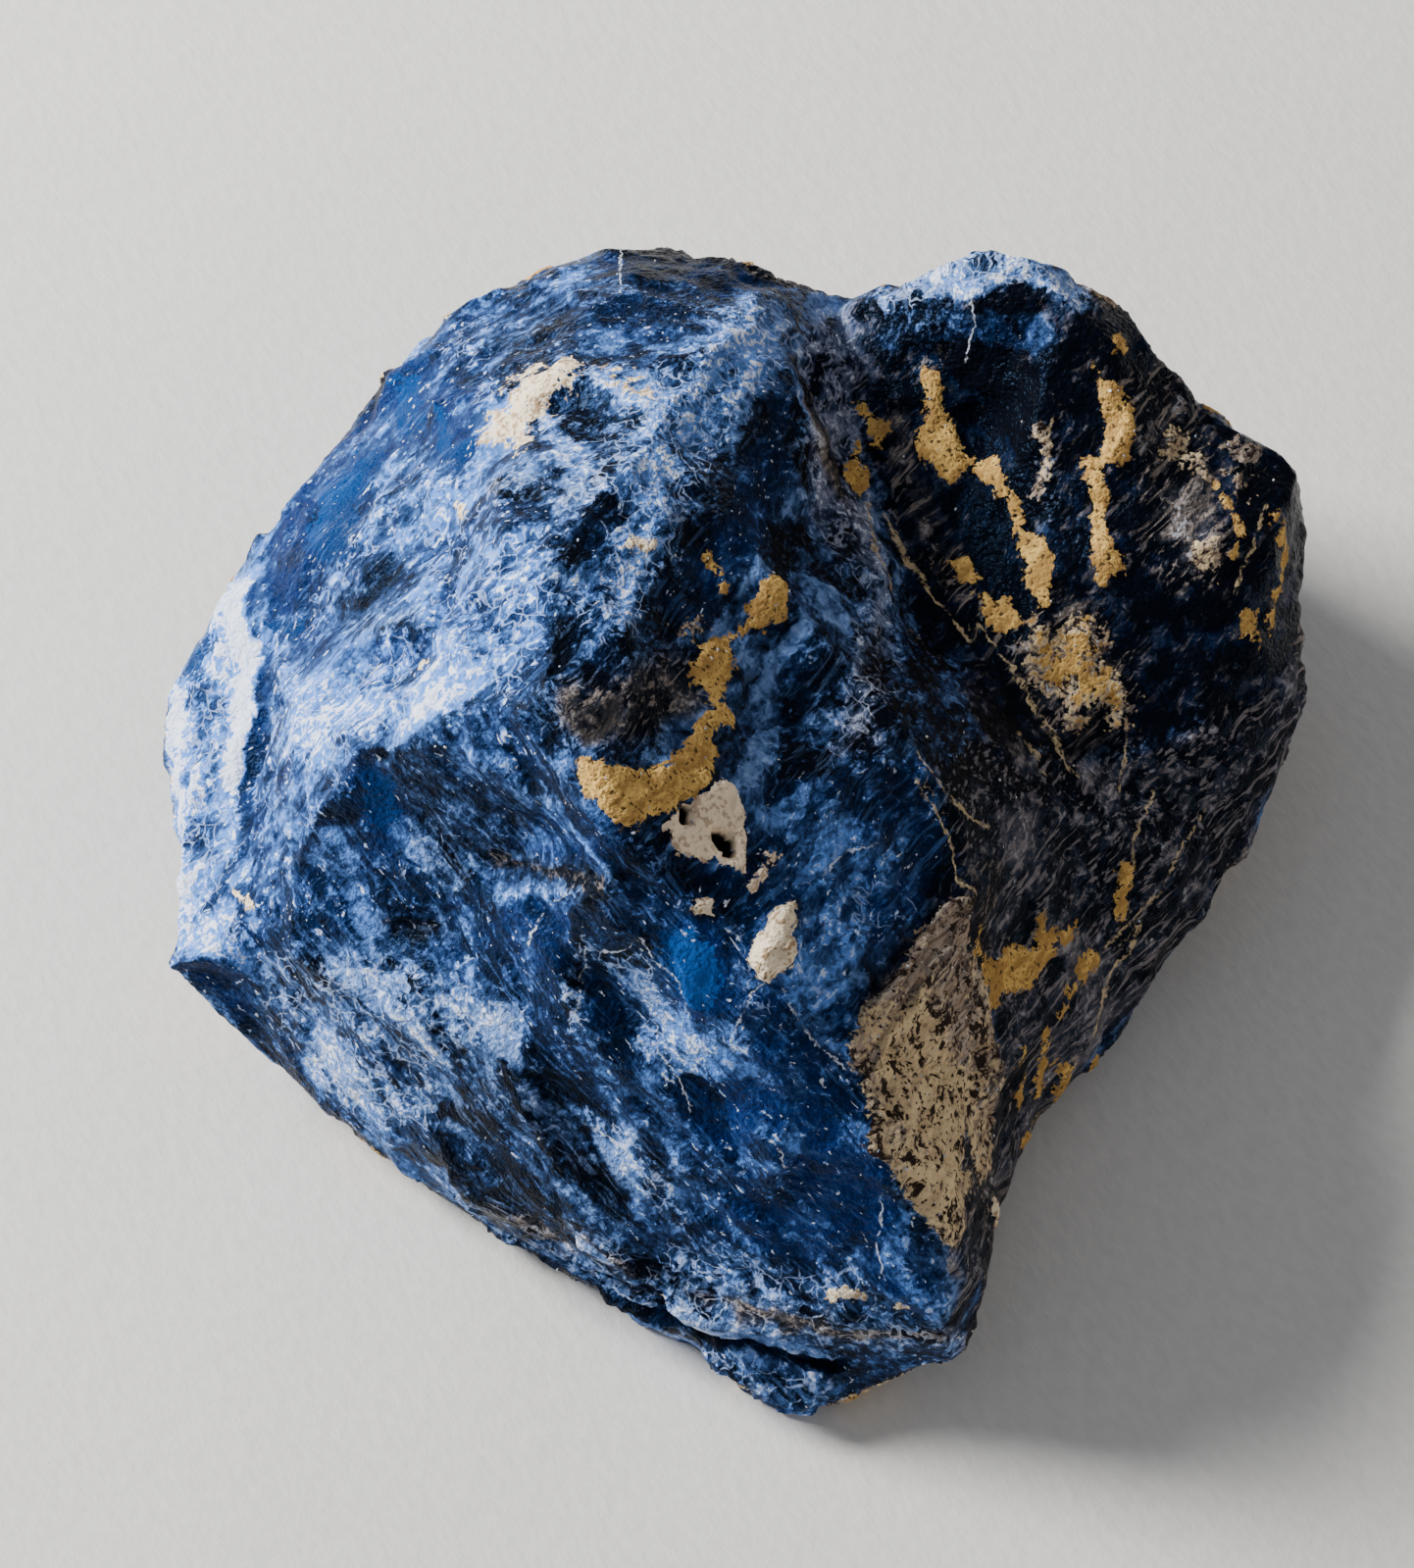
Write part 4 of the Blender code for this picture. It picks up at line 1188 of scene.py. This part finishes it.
def crust_colours(tree, settings, pattern):
    """The colours of the crusts, in the order in which they lie on each other."""
    stain = step(tree, pattern["streak"], 0.4, 0.62)
    worn = step(tree, total_of(tree, pattern["patch"], (pattern["fleck"], 1.0)), 0.52, 0.66)
    pores = step(tree, total_of(tree, pattern["fleck"], (pattern["chip"], 0.12)), 0.38, 0.32)
    pits = step(tree, total_of(tree, pattern["pitted"], (pattern["cloud"], 0.6)), 0.54, 0.62)
    ochre = blend(tree, calc(tree, "MAXIMUM", stain, worn), settings.ochre, OCHRE_STAIN)
    yellow = total_of(tree, level_of(tree, "frost"), (pattern["ragged"], 1.2), (pattern["fleck"], 1.5))
    tan = blend(tree, step(tree, pattern["comb"], 0.4, 0.6), TAN_GROOVE, TAN_RIDGE)
    tan = blend(tree, step(tree, yellow, 0.2, 0.6), tan, settings.tan)
    tan = blend(tree, calc(tree, "MULTIPLY", stain, 0.5), tan, TAN_STAIN)
    return {
        "tan": blend(tree, calc(tree, "MAXIMUM", pits, pores), tan, TAN_PIT),
        "pink": blend(tree, calc(tree, "MULTIPLY", worn, 0.7), settings.pink, PINK_WEAR),
        "ochre": blend(tree, pores, ochre, OCHRE_PORE),
        "calcite": blend(tree, worn, settings.calcite, CALCITE_WEAR),
    }


def crusted(tree, settings, pattern, skin):
    """The crusts over the stone, the painted shadow in its holes, and where the crusts lie."""
    whole = 0.0
    for name, colour in crust_colours(tree, settings, pattern).items():
        cover = total_of(tree, level_of(tree, name), *weighted(pattern, CRUST_MIX))
        cover = step(tree, cover, -0.05, 0.15)
        skin = blend(tree, cover, skin, colour)
        whole = calc(tree, "MAXIMUM", whole, cover)
    # painted shadow: the holes are coloured near-black for the shade inside them
    hole = step(tree, level_of(tree, "hole"), 0.0, 0.5)
    return blend(tree, hole, skin, HOLE_PAINTED_SHADOW), whole


def new_material(name):
    """A material with its tree and its Principled shader."""
    material = bpy.data.materials.new(name)
    material.use_nodes = True
    return material, material.node_tree, material.node_tree.nodes["Principled BSDF"]


def raise_bump(tree, shader, height, strength, distance):
    """Fine relief on a shader."""
    inputs = {"Height": height, "Strength": strength, "Distance": distance}
    tree.links.new(add_node(tree, "ShaderNodeBump", inputs).outputs[0], shader.inputs["Normal"])


def stone_material(settings):
    """Blue sodalite in black matrix, frosted where it is bruised, with ochre, tan and calcite crusts."""
    material, tree, shader = new_material("sodalite")
    pattern = stone_patterns(tree)
    clear = total_of(tree, level_of(tree, "window"), *weighted(pattern, WINDOW_MIX))
    clear = step(tree, clear, -0.1, 0.15)
    skin = body_colour(tree, settings, pattern, clear)
    tints = frost_tints(tree, settings)
    skin, haze = frosted(tree, settings, pattern, clear, tints, skin)
    skin = scratched(tree, settings, pattern, clear, tints, skin)
    skin = veined(tree, settings, pattern, skin)
    skin, crust = crusted(tree, settings, pattern, skin)
    tree.links.new(skin, shader.inputs["Base Color"])
    rough = total_of(tree, 0.38, (haze, 0.2), (pattern["fleck"], 0.5))
    rough = calc(tree, "MAXIMUM", rough, calc(tree, "MULTIPLY", crust, 0.85))
    tree.links.new(rough, shader.inputs["Roughness"])
    shader.inputs["Specular IOR Level"].default_value = 0.06
    shader.inputs["Specular Tint"].default_value = (0.15, 0.45, 1, 1)
    raise_bump(tree, shader, total_of(tree, 0.0, *weighted(pattern, RELIEF_MIX)), 1.0, 0.25 * MM)
    return material


def random_vector(tree, low, high, seed):
    """A random vector for each point."""
    inputs = {"Min": low, "Max": high, "Seed": seed}
    return add_node(tree, "FunctionNodeRandomValue", inputs, data_type="FLOAT_VECTOR").outputs["Value"]


def grain_tree(settings, material):
    """Scatters small angular grains over a stone where its crusts are."""
    tree = bpy.data.node_groups.new("crust grains", "GeometryNodeTree")
    for name, kind, value in (
        ("Density", "NodeSocketFloat", settings.density),
        ("Size", "NodeSocketFloat", settings.size),
        ("Seed", "NodeSocketInt", settings.seed),
    ):
        tree.interface.new_socket(name, in_out="INPUT", socket_type=kind).default_value = value
    tree.interface.new_socket("Stone", in_out="INPUT", socket_type="NodeSocketObject")
    tree.interface.new_socket("Geometry", in_out="OUTPUT", socket_type="NodeSocketGeometry")
    given = add_node(tree, "NodeGroupInput").outputs
    surface = add_node(tree, "GeometryNodeObjectInfo", {"Object": given["Stone"]}).outputs["Geometry"]
    cover = add_node(tree, "GeometryNodeInputNamedAttribute", {"Name": "grain_cover"}, data_type="FLOAT")
    density = calc(tree, "MULTIPLY", cover.outputs["Attribute"], given["Density"])
    inputs = {"Mesh": surface, "Density": density, "Seed": given["Seed"]}
    points = add_node(tree, "GeometryNodeDistributePointsOnFaces", inputs, distribute_method="RANDOM")
    grain = add_node(tree, "GeometryNodeMeshIcoSphere", {"Radius": 0.5, "Subdivisions": 1}).outputs["Mesh"]
    turn = random_vector(tree, (0, 0, 0), (6.28, 6.28, 6.28), given["Seed"])
    spread = random_vector(tree, (0.4, 0.35, 0.25), (1.6, 1.2, 0.9), given["Seed"])
    inputs = {0: spread, "Scale": given["Size"]}
    size = add_node(tree, "ShaderNodeVectorMath", inputs, operation="SCALE").outputs[0]
    inputs = {"Points": points.outputs["Points"], "Instance": grain, "Rotation": turn, "Scale": size}
    placed = add_node(tree, "GeometryNodeInstanceOnPoints", inputs).outputs[0]
    real = add_node(tree, "GeometryNodeRealizeInstances", {"Geometry": placed}).outputs[0]
    inputs = {"Geometry": real, "Material": material}
    finished = add_node(tree, "GeometryNodeSetMaterial", inputs).outputs[0]
    tree.links.new(finished, add_node(tree, "NodeGroupOutput").inputs[0])
    return tree


def grain_material(settings):
    """Pale broken grains."""
    material, tree, shader = new_material("grains")
    place = add_node(tree, "ShaderNodeTexCoord").outputs["Object"]
    shade = step(tree, noise_of(tree, place, 300, 2.0), 0.4, 0.6)
    tree.links.new(blend(tree, shade, settings.colour, GRAIN_SHADE), shader.inputs["Base Color"])
    shader.inputs["Roughness"].default_value = 0.5
    return material


def paper_material(settings):
    """Pale paper with a fine tooth."""
    material, tree, shader = new_material("paper")
    place = add_node(tree, "ShaderNodeTexCoord").outputs["Object"]
    inputs = {"Vector": place, "Rotation": (0, 0, 0.7), "Scale": (1, 2.2, 1)}
    turned = add_node(tree, "ShaderNodeMapping", inputs, vector_type="TEXTURE").outputs[0]
    tooth = noise_of(tree, turned, 1300)
    swell = noise_of(tree, place, 18, 2.0)
    shaded = [0.93 * level for level in settings.floor]
    colour = blend(tree, step(tree, tooth, 0.3, 0.7), shaded, settings.floor)
    tree.links.new(colour, shader.inputs["Base Color"])
    shader.inputs["Roughness"].default_value = 0.9
    raise_bump(tree, shader, calc(tree, "MULTIPLY_ADD", tooth, 0.12, swell), 0.5, 0.0016)
    return material


def aim(item, target):
    """Turns a light or camera towards a point."""
    item.rotation_euler = (Vector(target) - item.location).to_track_quat("-Z", "Y").to_euler()


def soft_light(name, direction, distance, size, power, colour):
    """A large square light shining on the stone."""
    light = bpy.data.lights.new(name, "AREA")
    light.size = size
    light.energy = power
    light.color = colour
    item = add_object(name, light)
    item.location = Vector(direction).normalized() * distance
    aim(item, LIGHT_TARGET)


def room_light(strength):
    """Even light from all round."""
    world = bpy.data.worlds.new("room")
    world.use_nodes = True
    background = world.node_tree.nodes["Background"]
    background.inputs["Color"].default_value = (*ROOM_COLOUR, 1.0)
    background.inputs["Strength"].default_value = strength
    bpy.context.scene.world = world


def place_camera():
    """The camera that looks down on the stone."""
    lens = bpy.data.cameras.new("stage_camera")
    lens.lens = CAMERA_LENS
    lens.sensor_width = CAMERA_SENSOR
    lens.clip_start = 0.01
    camera = add_object("stage_camera", lens)
    camera.location = Vector(camera_axes()[0]) * MM
    aim(camera, Vector(CAMERA_TARGET) * MM)
    bpy.context.scene.camera = camera


class SODALITE_OT_stone(Operator):
    """Build the stone's broken, crusted skin over its solid"""

    bl_idname = "sodalite.stone"
    bl_label = "Stone"

    def execute(self, context):
        settings = context.scene.sodalite_stone
        mesh = broken_skin(settings).mesh
        mesh.transform(Matrix.Scale(MM, 4))
        mesh.materials.clear()
        mesh.materials.append(stone_material(settings))
        mesh.shade_smooth()
        stone = add_object("broken_stone", mesh)
        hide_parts(STONE_NODE)
        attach(stone, "root")
        return {"FINISHED"}


class SODALITE_OT_grains(Operator):
    """Scatter loose grains over the stone's crusts"""

    bl_idname = "sodalite.grains"
    bl_label = "Crust grains"

    def execute(self, context):
        settings = context.scene.sodalite_grains
        holder = add_object("holder", bpy.data.meshes.new("holder"))
        modifier = holder.modifiers.new("Grains", "NODES")
        modifier.node_group = grain_tree(settings, grain_material(settings))
        for item in modifier.node_group.interface.items_tree:
            if item.item_type == "SOCKET" and item.name == "Stone":
                modifier[item.identifier] = bpy.data.objects["broken_stone"]
        graph = context.evaluated_depsgraph_get()
        mesh = bpy.data.meshes.new_from_object(holder.evaluated_get(graph))
        holder.modifiers.clear()
        bpy.data.objects.remove(holder)
        if not mesh.polygons:
            raise RuntimeError("no grains were scattered")
        grains = add_object("crust_grains", mesh)
        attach(grains, "root")
        return {"FINISHED"}


class SODALITE_OT_stage(Operator):
    """Lay the paper floor and set the lights and the camera"""

    bl_idname = "sodalite.stage"
    bl_label = "Stage"

    def execute(self, context):
        settings = context.scene.sodalite_stage
        shape = bmesh.new()
        bmesh.ops.create_grid(shape, x_segments=1, y_segments=1, size=FLOOR_REACH)
        mesh = bpy.data.meshes.new("paper_floor")
        shape.to_mesh(mesh)
        shape.free()
        mesh.materials.append(paper_material(settings))
        floor = add_object("paper_floor", mesh)
        soft_light("window_light", (-0.85, 0.35, 0.62), 0.62, 0.24, settings.key_power, WINDOW_COLOUR)
        soft_light("warm_fill", (0.9, -0.3, 0.35), 0.7, 0.3, settings.fill_power, WARM_COLOUR)
        room_light(settings.sky)
        place_camera()
        return {"FINISHED"}


class SODALITE_PT_panel(Panel):
    """The specimen's pieces"""

    bl_label = "Sodalite"
    bl_space_type = "VIEW_3D"
    bl_region_type = "UI"
    bl_category = "Sodalite"

    def draw(self, context):
        for operator, settings in (
            (SODALITE_OT_stone, context.scene.sodalite_stone),
            (SODALITE_OT_grains, context.scene.sodalite_grains),
            (SODALITE_OT_stage, context.scene.sodalite_stage),
        ):
            box = self.layout.box()
            box.operator(operator.bl_idname)
            for name in settings.bl_rna.properties.keys():
                if name not in ("rna_type", "name"):
                    box.prop(settings, name)


CLASSES = (
    StoneSettings, GrainSettings, StageSettings,
    SODALITE_OT_stone, SODALITE_OT_grains, SODALITE_OT_stage, SODALITE_PT_panel,
)


def register():
    """Adds the classes and their settings."""
    for item in CLASSES:
        bpy.utils.register_class(item)
    bpy.types.Scene.sodalite_stone = PointerProperty(type=StoneSettings)
    bpy.types.Scene.sodalite_grains = PointerProperty(type=GrainSettings)
    bpy.types.Scene.sodalite_stage = PointerProperty(type=StageSettings)


def unregister():
    """Removes the classes and their settings."""
    del bpy.types.Scene.sodalite_stone
    del bpy.types.Scene.sodalite_grains
    del bpy.types.Scene.sodalite_stage
    for item in reversed(CLASSES):
        bpy.utils.unregister_class(item)


def main():
    """Builds the whole specimen."""
    register()
    bpy.ops.sodalite.stone()
    bpy.ops.sodalite.grains()
    bpy.ops.sodalite.stage()


if __name__ == "__main__":
    main()
